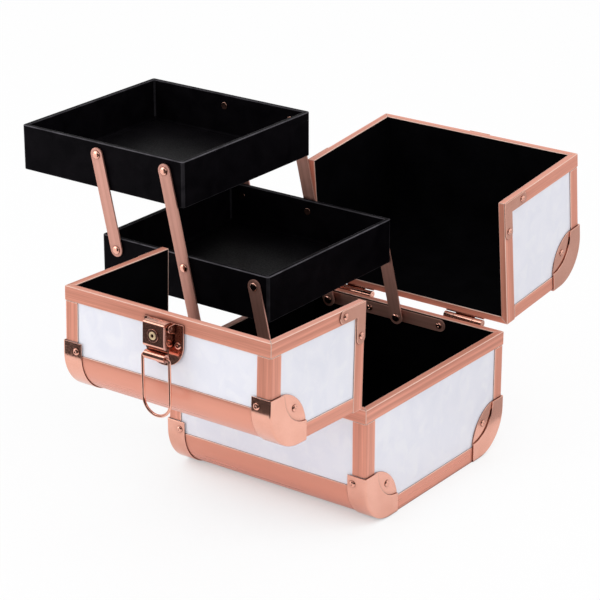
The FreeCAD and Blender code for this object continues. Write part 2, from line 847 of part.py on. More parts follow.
def arm_body(label, spans):
    """Flat bar with round ends and a hole at each pivot, one span apart."""
    body = doc.addObject("PartDesign::Body", label)
    plane = [f for f in body.Origin.OriginFeatures if f.Role == "XZ_Plane"][0]
    sketch = body.newObject("Sketcher::SketchObject", label + "_outline")
    sketch.AttachmentSupport = [(plane, "")]
    sketch.MapMode = "FlatFace"
    half = size("arm_width") / 2
    top = SPAN * spans
    low = Part.ArcOfCircle(Part.Circle(V(0, 0, 0), V(0, 0, 1), half), math.pi, 2 * math.pi)
    high = Part.ArcOfCircle(Part.Circle(V(0, top, 0), V(0, 0, 1), half), 0, math.pi)
    sketch.addGeometry([low, high], False)
    sketch.addGeometry(Part.LineSegment(V(half, 0, 0), V(half, top, 0)), False)
    sketch.addGeometry(Part.LineSegment(V(-half, top, 0), V(-half, 0, 0)), False)
    rule = Sketcher.Constraint
    sketch.addConstraint(rule("Coincident", 0, 3, -1, 1))
    sketch.addConstraint(rule("PointOnObject", 1, 3, -2))
    sketch.addConstraint(rule("Tangent", 0, 2, 2, 1))
    sketch.addConstraint(rule("Tangent", 2, 2, 1, 1))
    sketch.addConstraint(rule("Tangent", 1, 2, 3, 1))
    sketch.addConstraint(rule("Tangent", 3, 2, 0, 1))
    number = sketch.addConstraint(rule("Radius", 0, half))
    sketch.setExpression("Constraints[%d]" % number, "d.arm_width / 2")
    number = sketch.addConstraint(rule("DistanceY", 0, 3, 1, 3, top))
    sketch.setExpression("Constraints[%d]" % number, "%d * d.arm_span" % spans)
    hole = size("pivot_radius") + size("pivot_fit")
    for step in range(spans + 1):
        place = sketch.addGeometry(Part.Circle(V(0, SPAN * step, 0), V(0, 0, 1), hole), False)
        number = sketch.addConstraint(rule("Radius", place, hole))
        sketch.setExpression("Constraints[%d]" % number, "d.pivot_radius + d.pivot_fit")
        if step == 0:
            sketch.addConstraint(rule("Coincident", place, 3, 0, 3))
        elif step == spans:
            sketch.addConstraint(rule("Coincident", place, 3, 1, 3))
        else:
            sketch.addConstraint(rule("PointOnObject", place, 3, -2))
            number = sketch.addConstraint(rule("DistanceY", 0, 3, place, 3, SPAN * step))
            sketch.setExpression("Constraints[%d]" % number, "%d * d.arm_span" % step)
    pad = body.newObject("PartDesign::Pad", label + "_plate")
    pad.Profile = sketch
    pad.setExpression("Length", "d.arm_plate")
    return body


def arm_pair(label, foot, spans):
    """The same arm in front of and behind the trays."""
    pair = []
    turn = FreeCAD.Rotation(V(0, 1, 0), -size("arm_lean"))
    for face, side in ((-ARM_IN, "front"), (ARM_OUT, "rear")):
        bar = arm_body("%s_%s" % (label, side), spans)
        bar.Placement = FreeCAD.Placement(V(foot.x, face, foot.z), turn)
        pair.append(bar)
    node(label, pair)


arm_pair("long_arms", LONG_FOOT, 2)
arm_pair("lower_arms", SHORT_FOOT, 1)
arm_pair("upper_arms", LINK_FOOT, 1)


# Trays: a floor and four walls of covered board
def tray(label, left, low, pivots):
    x = str(left)
    z = str(low)
    half = "(d.case_depth / 2 - d.tray_clear)"
    room = "2 * (%s - d.tray_wall)" % half
    base = block(
        label + "_floor",
        (x + " + d.tray_wall", "d.tray_wall - " + half, z),
        ("d.tray_length - 2 * d.tray_wall", room, "d.tray_floor"),
    )
    ends = []
    for tag, start in (("left", x), ("right", x + " + d.tray_length - d.tray_wall")):
        ends.append(
            block(
                label + "_end_" + tag,
                (start, "d.tray_wall - " + half, z),
                ("d.tray_wall", room, "d.tray_height"),
            )
        )
    sides = []
    for tag, start in (("front", "-" + half), ("rear", half + " - d.tray_wall")):
        plank = block(
            label + "_side_" + tag,
            (x, start, z),
            ("d.tray_length", "d.tray_wall", "d.tray_height"),
        )
        drills = [
            rod(
                "%s_drill_%s_%d" % (label, tag, number),
                "d.pivot_radius + d.pivot_fit",
                "2 * (%s + d.tray_wall)" % half,
                V(pivot.x, -TRAY_Y - size("tray_wall"), pivot.z),
                V(0, 1, 0),
            )
            for number, pivot in enumerate(pivots, start=1)
        ]
        sides.append(cut("%s_wall_%s" % (label, tag), plank, fuse("%s_drills_%s" % (label, tag), drills)))
    node(label, [base] + ends + sides)


TRAY_UP = size("tray_pivot_up")
tray(
    "lower_tray",
    LONG_MIDDLE.x - size("lower_tray_lead"),
    LONG_MIDDLE.z - TRAY_UP,
    [LINK_FOOT, LONG_MIDDLE, SHORT_TOP],
)
tray("upper_tray", LONG_TOP.x - size("upper_tray_lead"), LONG_TOP.z - TRAY_UP, [LINK_TOP, LONG_TOP])


# Pivot rivets: turned pins with a collar, a domed head and a flat inner head
def pivot_section(name, stations):
    """Half section about the Z axis from (radius, height) stations."""
    outline_points = [(0, stations[0][1])] + stations + [(0, stations[-1][1])]
    return outline(name, outline_points, PLANE_XZ, V(0, 0, 0))


def turned(name, section, seat, direction):
    pin = doc.addObject("Part::Revolution", name)
    pin.Source = section
    pin.Axis = V(0, 0, 1)
    pin.Base = V(0, 0, 0)
    pin.Angle = 360
    pin.Solid = True
    pin.Placement = FreeCAD.Placement(seat, FreeCAD.Rotation(V(0, 0, 1), direction))
    return pin


PIVOT = size("pivot_radius")
HEAD = size("pivot_head")
HEAD_UP = size("pivot_rise")
HEAD_CHORDS = 3
COLLAR = size("pivot_collar")
FLOAT = size("pivot_float")
SPACER = size("arm_spacer")
PLATE = size("arm_plate")
WALL_T = size("tray_wall")


def head_stations(level):
    """Domed head from its seat up to its crown, as short chords."""
    ring = []
    rim = size("pivot_rim")
    for chord in range(HEAD_CHORDS + 1):
        t = math.pi / 2 * chord / HEAD_CHORDS
        ring.append((HEAD * math.cos(t), level + rim + (HEAD_UP - rim) * math.sin(t)))
    return [(HEAD, level)] + ring


# On a tray the axis points outward from the wall's outer face at zero
ARM_TOP = SPACER + PLATE + FLOAT
tray_pin = [(COLLAR, -WALL_T - size("pivot_inner")), (COLLAR, -WALL_T), (PIVOT, -WALL_T), (PIVOT, 0.0)]
tray_pin += [(COLLAR, 0.0), (COLLAR, SPACER - FLOAT), (PIVOT, SPACER - FLOAT), (PIVOT, ARM_TOP)]
tray_pin += head_stations(ARM_TOP)
tray_pin_section = pivot_section("tray_pin_section", tray_pin)


def tray_pins(label, pivots):
    pins_here = []
    for number, pivot in enumerate(pivots, start=1):
        for sy, tag in ((-1, "front"), (1, "rear")):
            seat = V(pivot.x, sy * TRAY_Y, pivot.z)
            pins_here.append(turned("%s_%s_%d" % (label, tag, number), tray_pin_section, seat, V(0, sy, 0)))
    node(label, pins_here)


tray_pins("lower_tray_pivots", [LINK_FOOT, LONG_MIDDLE, SHORT_TOP])
tray_pins("upper_tray_pivots", [LINK_TOP, LONG_TOP])

# On the base the axis points inward from the strip's face at zero
reach = STRIP_IN - ARM_OUT
base_pin = [(PIVOT, -size("strip_plate")), (PIVOT, 0.0), (COLLAR, 0.0), (COLLAR, reach - FLOAT)]
base_pin += [(PIVOT, reach - FLOAT), (PIVOT, reach + PLATE + FLOAT)]
base_pin += head_stations(reach + PLATE + FLOAT)
base_pin_section = pivot_section("base_pin_section", base_pin)
base_pins = []
for number, pivot in enumerate((LONG_FOOT, SHORT_FOOT), start=1):
    for sy, tag in ((-1, "front"), (1, "rear")):
        seat = V(pivot.x, sy * STRIP_IN, pivot.z)
        base_pins.append(turned("base_pin_%s_%d" % (tag, number), base_pin_section, seat, V(0, -sy, 0)))
node("base_pivots", base_pins)

# Pivot strips riveted along the inside of the front and rear walls
half_strip = size("strip_width") / 2
strip_start = LONG_FOOT.x
strip_end = SHORT_FOOT.x + size("strip_tail") - half_strip
strip_outline = [
    arc((strip_end, LONG_FOOT.z), half_strip, -90, 90),
    arc((strip_start, LONG_FOOT.z), half_strip, 90, 270),
]
strips = []
strip_seats = []
for sy, tag in ((-1, "front"), (1, "rear")):
    start_y = -STRIP_IN if sy < 0 else ROOM_Y
    bar = extrude(
        "strip_bar_" + tag,
        outline("strip_outline_" + tag, strip_outline, PLANE_XZ, V(0, start_y, 0)),
        V(0, -1, 0),
        "d.strip_plate",
    )
    drills = [
        rod(
            "strip_drill_%s_%d" % (tag, number),
            "d.pivot_radius + d.pivot_fit",
            "d.case_depth",
            V(pivot.x, -OUT_Y, pivot.z),
            V(0, 1, 0),
        )
        for number, pivot in enumerate((LONG_FOOT, SHORT_FOOT), start=1)
    ]
    strips.append(cut("strip_" + tag, bar, fuse("strip_drills_" + tag, drills)))
    for pivot in (LONG_FOOT, SHORT_FOOT):
        seat = V(pivot.x + size("strip_rivet"), sy * STRIP_IN, pivot.z)
        strip_seats.append((seat, V(0, -sy, 0)))
node("pivot_strips", strips)
node("strip_rivets", fixed_rivets("strip_rivet", strip_seats))

# Clasp on the front lid's top, drawn closed with its upper end at the split
CLASP_FACE = LID_TOP
CLASP_TOP = FRONT_SPLIT - size("clasp_top")
PLATE_Z = CLASP_FACE + size("clasp_plate")
clasp_half = size("clasp_width") / 2
clasp_round = CLASP_TOP - size("clasp_drop") + clasp_half
lever_half = size("lever_width") / 2
LEVER_TOP_Y = FRONT_SPLIT - size("lever_top")
LEVER_PIN = V(0, LEVER_TOP_Y - size("lever_pivot_in"), CLASP_FACE + size("lever_pivot_up"))
BARREL = V(0, LEVER_TOP_Y - size("barrel_in"), CLASP_FACE + size("barrel_up"))
plate_outline = [
    arc((0, clasp_round), clasp_half, 180, 360),
    (clasp_half, CLASP_TOP),
    (-clasp_half, CLASP_TOP),
]
clasp_base = along_z("clasp_base", plate_outline, CLASP_FACE, "d.clasp_plate")
cheek_in = lever_half + size("cheek_gap")
cheek_outline = [
    (CLASP_TOP, CLASP_FACE),
    arc((LEVER_PIN.y, LEVER_PIN.z), size("cheek_round"), 0, 180),
    (LEVER_PIN.y - size("cheek_foot"), CLASP_FACE),
]
cheek_right = along_x("cheek_right", cheek_outline, cheek_in, "d.cheek_plate")
cheek_left = mirror("cheek_left", cheek_right, V(1, 0, 0))
clasp_blank = fuse("clasp_blank", [clasp_base, cheek_right, cheek_left])
pin_reach = cheek_in + size("cheek_plate")
pin_length = "d.lever_width + 2 * d.cheek_gap + 2 * d.cheek_plate"
cheek_drill = rod(
    "cheek_drill",
    "d.lever_pin_radius + d.pivot_fit",
    pin_length + " + 2",
    V(-pin_reach - 1, LEVER_PIN.y, LEVER_PIN.z),
    V(1, 0, 0),
)
node("clasp_plate", [cut("clasp_saddle", clasp_blank, cheek_drill)], FRONT_SWING)
node(
    "clasp_pin",
    [rod("lever_pin", "d.lever_pin_radius", pin_length, V(-pin_reach, LEVER_PIN.y, LEVER_PIN.z), V(1, 0, 0))],
    FRONT_SWING,
)
rivet_x = clasp_half - size("clasp_rivet_in")
rivet_y = CLASP_TOP - size("clasp_rivet_drop")
plate_rivet_seats = [(V(sx * rivet_x, rivet_y, PLATE_Z), V(0, 0, 1)) for sx in (-1, 1)]
node("clasp_rivets", fixed_rivets("clasp_rivet", plate_rivet_seats), FRONT_SWING)

# Lever: a pressed box open towards the plate, with a rolled end for the bail
lever_low = CLASP_FACE + size("lever_foot")
lever_high = CLASP_FACE + size("lever_rise")
lever_end = LEVER_TOP_Y - size("lever_face")


def lever_section(inset, low, heel):
    """Pressed box in Y and Z with soft upper bends; heel is its lower front."""
    soft = size("lever_bend") - inset
    top = lever_high - inset
    front = LEVER_TOP_Y - inset
    back = lever_end + inset
    return [
        (back, low),
        heel,
        arc((front - soft, top - soft), soft, 0, 90),
        arc((back + soft, top - soft), soft, 90, 180),
    ]


# The heel is round about the pin, so that it clears the plate as it swings
heel_radius = size("lever_pivot_in")
heel_drop = math.degrees(math.asin((LEVER_PIN.z - lever_low) / heel_radius))
lever_heel = arc((LEVER_PIN.y, LEVER_PIN.z), heel_radius, -heel_drop, 0)
room_low = lever_low - SKIN
room_heel = (LEVER_TOP_Y - size("lever_wall"), room_low)
lever_box = along_x("lever_box", lever_section(0, lever_low, lever_heel), -lever_half, "d.lever_width")
lever_room = along_x(
    "lever_room",
    lever_section(size("lever_wall"), room_low, room_heel),
    -lever_half + size("lever_wall"),
    "d.lever_width - 2 * d.lever_wall",
)
tongue_low = BARREL.z - size("barrel_radius")
tongue = along_x(
    "lever_tongue",
    [
        (BARREL.y, tongue_low),
        (lever_end + size("lever_wall"), tongue_low),
        (lever_end + size("lever_wall"), tongue_low + size("lever_wall")),
        (BARREL.y, tongue_low + size("lever_wall")),
    ],
    -lever_half,
    "d.lever_width",
)
roll = rod("lever_roll", "d.barrel_radius", "d.lever_width", V(-lever_half, BARREL.y, BARREL.z), V(1, 0, 0))
lever_shell = cut("lever_shell", lever_box, lever_room)
lever_blank = fuse("lever_blank", [lever_shell, tongue, roll])
lever_drills = fuse(
    "lever_drills",
    [
        rod(
            "lever_pin_drill",
            "d.lever_pin_radius + d.pivot_fit",
            pin_length,
            V(-pin_reach, LEVER_PIN.y, LEVER_PIN.z),
            V(1, 0, 0),
        ),
        rod(
            "bail_drill",
            "d.bail_wire + d.pivot_fit",
            "d.lever_width + 2",
            V(-lever_half - 1, BARREL.y, BARREL.z),
            V(1, 0, 0),
        ),
        rod(
            "lock_drill",
            "d.lock_radius + d.pivot_fit",
            "d.lever_rise",
            V(0, (LEVER_TOP_Y + lever_end) / 2, lever_low),
            V(0, 0, 1),
        ),
    ],
)
node("clasp_lever", [cut("lever", lever_blank, lever_drills)], FRONT_SWING)

# Lock: a turned barrel with a flange and a key slot
LOCK = V(0, (LEVER_TOP_Y + lever_end) / 2, lever_high)
lock_stem = rod(
    "lock_stem",
    "d.lock_radius",
    "d.lock_depth + d.pivot_float",
    LOCK - V(0, 0, size("lock_depth")),
    V(0, 0, 1),
)
lock_rim = rod("lock_rim", "d.lock_flange", "d.lever_wall", LOCK + V(0, 0, size("pivot_float")), V(0, 0, 1))
key_way = block(
    "key_way",
    ("-d.key_slot / 2", str(LOCK.y) + " - d.key_length / 2", str(LOCK.z) + " - d.key_depth"),
    ("d.key_slot", "d.key_length", "d.lock_depth"),
)
node("lock_barrel", [cut("lock_plug", fuse("lock_blank", [lock_stem, lock_rim]), key_way)], FRONT_SWING)

# Bail: a wire loop whose ends turn into the lever's rolled end
hang = FRONT_SWING.Rotation.inverted().multVec(V(0, 0, -1))
bail_half = size("bail_span") / 2
bail_straight = size("bail_length") - bail_half
side_in = lever_half - size("bail_tuck")
bend = size("bail_bend")


def bail_at(x, drop):
    return BARREL + V(x, 0, 0) + hang * drop


half_root = math.sqrt(0.5)
wire = Part.Wire(
    [
        Part.makeLine(bail_at(-side_in, 0), bail_at(-bail_half + bend, 0)),
        Part.Arc(
            bail_at(-bail_half + bend, 0),
            bail_at(-bail_half + bend * (1 - half_root), bend * (1 - half_root)),
            bail_at(-bail_half, bend),
        ).toShape(),
        Part.makeLine(bail_at(-bail_half, bend), bail_at(-bail_half, bail_straight)),
        Part.Arc(
            bail_at(-bail_half, bail_straight),
            bail_at(0, bail_straight + bail_half),
            bail_at(bail_half, bail_straight),
        ).toShape(),
        Part.makeLine(bail_at(bail_half, bail_straight), bail_at(bail_half, bend)),
        Part.Arc(
            bail_at(bail_half, bend),
            bail_at(bail_half - bend * (1 - half_root), bend * (1 - half_root)),
            bail_at(bail_half - bend, 0),
        ).toShape(),
        Part.makeLine(bail_at(bail_half - bend, 0), bail_at(side_in, 0)),
    ]
)
bail_path = doc.addObject("Part::Feature", "bail_path")
bail_path.Shape = wire
bail_ring = doc.addObject("Part::Circle", "bail_ring")
bail_ring.setExpression("Radius", "d.bail_wire")
bail_ring.Placement = FreeCAD.Placement(bail_at(-side_in, 0), FreeCAD.Rotation(V(0, 0, 1), V(1, 0, 0)))
bail_loop = doc.addObject("Part::Sweep", "bail_loop")
bail_loop.Sections = [bail_ring]
bail_loop.Spine = (bail_path, ["Edge%d" % n for n in range(1, 8)])
bail_loop.Solid = True
bail_loop.Frenet = False
node("clasp_bail", [bail_loop], FRONT_SWING)

# Catch on the rear lid's top edge: a plate with an upturned hook
thick = size("catch_plate")
catch_far = REAR_SPLIT + size("catch_length")
catch_stem = catch_far - 2 * thick
catch_top = LID_TOP + size("catch_rise")
catch_outline = [
    (REAR_SPLIT, LID_TOP),
    (catch_far, LID_TOP),
    (catch_far, LID_TOP + thick),
    (catch_stem + thick, LID_TOP + thick),
    (catch_stem + thick, catch_top - thick),
    (catch_stem + thick + size("catch_lip"), catch_top - thick),
    (catch_stem + thick + size("catch_lip"), catch_top),
    (catch_stem, catch_top),
    (catch_stem, LID_TOP + thick),
    (REAR_SPLIT, LID_TOP + thick),
]
node(
    "catch_hook",
    [along_x("catch", catch_outline, -size("catch_width") / 2, "d.catch_width")],
    REAR_SWING,
)

# Handle brackets: arched saddles on the rear lid's top beside the split
HANDLE_Y = REAR_SPLIT + size("bracket_set")
HANDLE_Z = LID_TOP + size("bracket_up")
HANDLE_X = size("handle_centre")
arch = size("bracket_length") / 2
bracket_outline = [
    (HANDLE_Y - arch, LID_TOP),
    (HANDLE_Y + arch, LID_TOP),
    arc((HANDLE_Y, HANDLE_Z), size("handle_wire") + size("bracket_wall"), 0, 180),
]
bracket_blank = along_x(
    "bracket_blank", bracket_outline, HANDLE_X - size("bracket_width") / 2, "d.bracket_width"
)
bracket_drill = rod(
    "bracket_drill",
    "d.handle_wire + d.pivot_fit",
    "d.bracket_width + 2",
    V(HANDLE_X - size("bracket_width") / 2 - 1, HANDLE_Y, HANDLE_Z),
    V(1, 0, 0),
)
bracket = cut("bracket", bracket_blank, bracket_drill)
node("handle_brackets", [bracket, mirror("bracket_left", bracket, V(1, 0, 0))], REAR_SWING)

# Handle: a bent rod through both brackets with a grip along its middle
drop = size("bracket_up") - size("grip_radius") + SKIN - size("handle_rest")
lie = math.asin(drop / size("handle_reach"))
out = V(0, math.cos(lie), -math.sin(lie))
arm_x = HANDLE_X - size("bracket_width") / 2 - size("handle_turn")
pin_x = HANDLE_X + size("bracket_width") / 2
radius = size("handle_turn")
bow = size("handle_bend")
pivot = V(0, HANDLE_Y, HANDLE_Z)


def handle_at(x, away):
    return pivot + V(x, 0, 0) + out * away


def handle_bend_arc(x_from, y_from, x_corner, y_corner, x_to, y_to):
    """Quarter bend between two points that touch a square corner."""
    near = 1 - half_root
    x_mid = x_corner + (x_from - x_corner) * near + (x_to - x_corner) * near
    y_mid = y_corner + (y_from - y_corner) * near + (y_to - y_corner) * near
    return Part.Arc(handle_at(x_from, y_from), handle_at(x_mid, y_mid), handle_at(x_to, y_to)).toShape()


REACH = size("handle_reach")
handle_wire = Part.Wire(
    [
        Part.makeLine(handle_at(-pin_x, 0), handle_at(-arm_x - radius, 0)),
        handle_bend_arc(-arm_x - radius, 0, -arm_x, 0, -arm_x, radius),
        Part.makeLine(handle_at(-arm_x, radius), handle_at(-arm_x, REACH - bow)),
        handle_bend_arc(-arm_x, REACH - bow, -arm_x, REACH, -arm_x + bow, REACH),
        Part.makeLine(handle_at(-arm_x + bow, REACH), handle_at(arm_x - bow, REACH)),
        handle_bend_arc(arm_x - bow, REACH, arm_x, REACH, arm_x, REACH - bow),
        Part.makeLine(handle_at(arm_x, REACH - bow), handle_at(arm_x, radius)),
        handle_bend_arc(arm_x, radius, arm_x, 0, arm_x + radius, 0),
        Part.makeLine(handle_at(arm_x + radius, 0), handle_at(pin_x, 0)),
    ]
)
handle_path = doc.addObject("Part::Feature", "handle_path")
handle_path.Shape = handle_wire
handle_ring = doc.addObject("Part::Circle", "handle_ring")
handle_ring.setExpression("Radius", "d.handle_wire")
handle_ring.Placement = FreeCAD.Placement(handle_at(-pin_x, 0), FreeCAD.Rotation(V(0, 0, 1), V(1, 0, 0)))
handle_rod = doc.addObject("Part::Sweep", "handle_rod")
handle_rod.Sections = [handle_ring]
handle_rod.Spine = (handle_path, ["Edge%d" % n for n in range(1, 10)])
handle_rod.Solid = True
handle_rod.Frenet = False
node("handle_frame", [handle_rod], REAR_SWING)

grip_section = outline(
    "grip_section",
    [
        (size("handle_wire") + size("seat"), -size("grip_length") / 2),
        (size("grip_radius") - size("grip_taper"), -size("grip_length") / 2),
        (size("grip_radius"), -size("grip_length") / 2 + size("grip_nose")),
        (size("grip_radius"), size("grip_length") / 2 - size("grip_nose")),
        (size("grip_radius") - size("grip_taper"), size("grip_length") / 2),
        (size("handle_wire") + size("seat"), size("grip_length") / 2),
    ],
    PLANE_XZ,
    V(0, 0, 0),
)
grip = turned("grip", grip_section, handle_at(0, REACH), V(1, 0, 0))
node("handle_grip", [grip], REAR_SWING)

doc.recompute()

# Every object must be sound before anything is written
for obj in doc.Objects:
    if "Invalid" in obj.State or "Error" in obj.State:
        raise RuntimeError("%s failed: %s" % (obj.Name, obj.State))
for piece in nodes:
    shape = piece.Shape
    if shape.isNull() or not shape.isValid() or not shape.Solids:
        raise RuntimeError("%s has no sound solid" % piece.Label)
    for solid in shape.Solids:
        if solid.Volume <= 0:
            raise RuntimeError("%s has a solid turned inside out" % piece.Label)

os.makedirs("parts", exist_ok=True)
for piece in nodes:
    piece.Shape.exportStep("parts/%s.step" % piece.Label)
    print("%s: %d solid(s), %.1f mm3" % (piece.Label, len(piece.Shape.Solids), piece.Shape.Volume))
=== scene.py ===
"""Dresses the makeup train case: soft-edged metal, rivets, wrapped trays, pearl boards and a studio."""

import json
import logging
import math
from dataclasses import dataclass, field
from enum import Enum

import bmesh
import bpy
import numpy as np
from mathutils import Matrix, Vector


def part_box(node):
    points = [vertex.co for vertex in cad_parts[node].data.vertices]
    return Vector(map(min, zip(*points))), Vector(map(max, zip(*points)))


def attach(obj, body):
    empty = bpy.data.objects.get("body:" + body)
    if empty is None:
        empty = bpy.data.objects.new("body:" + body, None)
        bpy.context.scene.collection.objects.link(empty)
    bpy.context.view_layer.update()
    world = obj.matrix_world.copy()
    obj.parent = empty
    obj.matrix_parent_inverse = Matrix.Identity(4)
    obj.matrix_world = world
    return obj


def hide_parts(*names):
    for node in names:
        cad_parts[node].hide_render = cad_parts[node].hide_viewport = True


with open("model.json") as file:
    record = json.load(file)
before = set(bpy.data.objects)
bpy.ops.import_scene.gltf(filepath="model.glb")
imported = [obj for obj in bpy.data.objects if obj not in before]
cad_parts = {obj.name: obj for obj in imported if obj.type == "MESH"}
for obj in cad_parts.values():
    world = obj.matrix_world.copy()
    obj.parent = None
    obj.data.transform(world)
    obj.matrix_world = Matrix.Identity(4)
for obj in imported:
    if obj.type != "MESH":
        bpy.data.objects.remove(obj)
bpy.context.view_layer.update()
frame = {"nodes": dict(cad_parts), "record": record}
NODES = frame["nodes"]
BODY_OF = {node: body for body, members in frame["record"]["behaviour"]["bodies"].items() for node in members}
LOG = logging.getLogger("train_case")

Colour = tuple[float, float, float]
Triple = tuple[float, float, float]
Pair = tuple[float, float]
Socket = bpy.types.NodeSocket
Source = Socket | float | tuple
Inputs = dict[str | int, Source]
Material = bpy.types.Material
Piece = bpy.types.Object
Solid = bmesh.types.BMesh

MM = 0.001
WELD = 1e-6
MERGE = 2 * WELD
QUARTER = 90.0
FLAT_ANGLE = math.radians(0.5)
HARD_ANGLE = math.radians(30.0)
SMOOTH_ANGLE = math.radians(50.0)
ROUND_STEPS = 2
ROUND_PROFILE = 0.5
AIR_RAYS = 4
UNIT: Pair = (0.0, 1.0)
OPAQUE = (1.0,)
RANGE_NAMES = ("From Min", "From Max", "To Min", "To Max")
MIX_LOW, MIX_HIGH, MIX_RESULT = 6, 7, 2
GRAIN = "grain"
EDGE = "edge"
PAD = "pad"
OUTWARD = "outward"


class Slot(Enum):
    """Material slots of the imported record."""

    PANEL = "pearl_panel"
    UNDERSIDE = "black_underside"
    LINING = "black_lining"
    LEATHERETTE = "black_leatherette"
    GRIP = "rose_gold_grip"
    STRIP = "rose_gold_strip"
    SATIN = "rose_gold_satin"
    POLISHED = "rose_gold_polished"


class Graph:
    """Node tree of a material, the world or a modifier, with short ways to add and join nodes."""

    def __init__(self, tree: bpy.types.NodeTree) -> None:
        """Take the tree that the nodes go into."""
        self.tree = tree

    def add(self, kind: str, inputs: Inputs | None = None, **settings: object) -> bpy.types.Node:
        """Add a node, set its options and feed its inputs.

        Args:
            kind: the node's type name.
            inputs: sources by the name or number of the input.
            settings: options set on the node.

        Returns:
            The new node.
        """
        node = self.tree.nodes.new(kind)
        for key, value in settings.items():
            setattr(node, key, value)
        for key, source in (inputs or {}).items():
            self.feed(node.inputs[key], source)
        return node

    def feed(self, socket: Socket, source: Source) -> None:
        """Link an output to a socket, or set the socket's own value."""
        if isinstance(source, Socket):
            self.tree.links.new(source, socket)
        else:
            socket.default_value = source

    def math(self, operation: str, first: Source, second: Source = 0.0) -> Socket:
        """Work on one or two values by one arithmetic operation."""
        return self.add("ShaderNodeMath", {0: first, 1: second}, operation=operation).outputs["Value"]

    def span(self, value: Socket, taken: Pair, given: Pair) -> Socket:
        """Map a value from one range to another, clamped.

        Args:
            value: the value to map.
            taken: the range that is read.
            given: the range that is returned.

        Returns:
            The mapped value.
        """
        inputs = {"Value": value, **dict(zip(RANGE_NAMES, taken + given))}
        return self.add("ShaderNodeMapRange", inputs).outputs["Result"]

    def blend(self, factor: Socket, low: Socket, high: Socket) -> Socket:
        """Mix two shaders, where a factor of 0 gives the first and 1 the second."""
        return self.add("ShaderNodeMixShader", {0: factor, 1: low, 2: high}).outputs[0]


class Wiring(Graph):
    """Node tree of one material, with its patterns, colours and relief."""

    def __init__(self, name: str) -> None:
        """Start a material that holds one principled shader."""
        self.material = bpy.data.materials.new(name)
        self.material.use_nodes = True
        super().__init__(self.material.node_tree)
        self.shader = self.tree.nodes["Principled BSDF"]

    def drive(self, name: str, source: Source) -> None:
        """Link or set one input of the shader."""
        self.feed(self.shader.inputs[name], source)

    def place(self, stretch: Triple, attribute: str = "") -> Socket:
        """Give the coordinates that a pattern is laid out on.

        Args:
            stretch: pattern repeats per metre along each axis.
            attribute: name of the mesh's own coordinates, or empty for Object coordinates.

        Returns:
            The scaled vector output.
        """
        if attribute:
            origin = self.add("ShaderNodeAttribute", attribute_name=attribute).outputs["Vector"]
        else:
            origin = self.add("ShaderNodeTexCoord").outputs["Object"]
        scale = self.add("ShaderNodeVectorMath", {0: origin, 1: stretch}, operation="MULTIPLY")
        return scale.outputs["Vector"]

    def noise(self, vector: Socket, detail: float = 2.0, distortion: float = 0.0) -> Socket:
        """Cloudy value between 0 and 1 at one repeat per unit of the vector."""
        inputs = {"Vector": vector, "Scale": 1.0, "Detail": detail, "Distortion": distortion}
        return self.add("ShaderNodeTexNoise", inputs).outputs["Fac"]

    def cells(self, vector: Socket) -> Socket:
        """Distance to the nearest pebble centre of a leather grain."""
        node = self.add("ShaderNodeTexVoronoi", {"Vector": vector, "Scale": 1.0}, feature="SMOOTH_F1")
        return node.outputs["Distance"]

    def tint(self, factor: Socket, low: Source, high: Source) -> Socket:
        """Blend between two colours.

        Args:
            factor: 0 gives low and 1 gives high.
            low: first colour, or a colour output.
            high: second colour, or a colour output.

        Returns:
            The blended colour.
        """
        inputs = {0: factor}
        for number, source in ((MIX_LOW, low), (MIX_HIGH, high)):
            inputs[number] = source + OPAQUE if isinstance(source, tuple) else source
        return self.add("ShaderNodeMix", inputs, data_type="RGBA").outputs[MIX_RESULT]

    def relief(self, height: Socket, depth: float, strength: float) -> None:
        """Bump the shader's normal by a height of so many metres."""
        inputs = {"Height": height, "Distance": depth, "Strength": strength}
        self.drive("Normal", self.add("ShaderNodeBump", inputs).outputs["Normal"])

    def mark(self, name: str) -> Socket:
        """Give the value that a piece's own attribute holds, such as 1 on rounded edges."""
        return self.add("ShaderNodeAttribute", attribute_name=name).outputs["Fac"]

    def open_air(self, reach: float) -> Socket:
        """Give 1 in the open and less in corners where another surface stands within reach."""
        node = self.add("ShaderNodeAmbientOcclusion", {"Distance": reach}, samples=AIR_RAYS)
        return node.outputs["AO"]


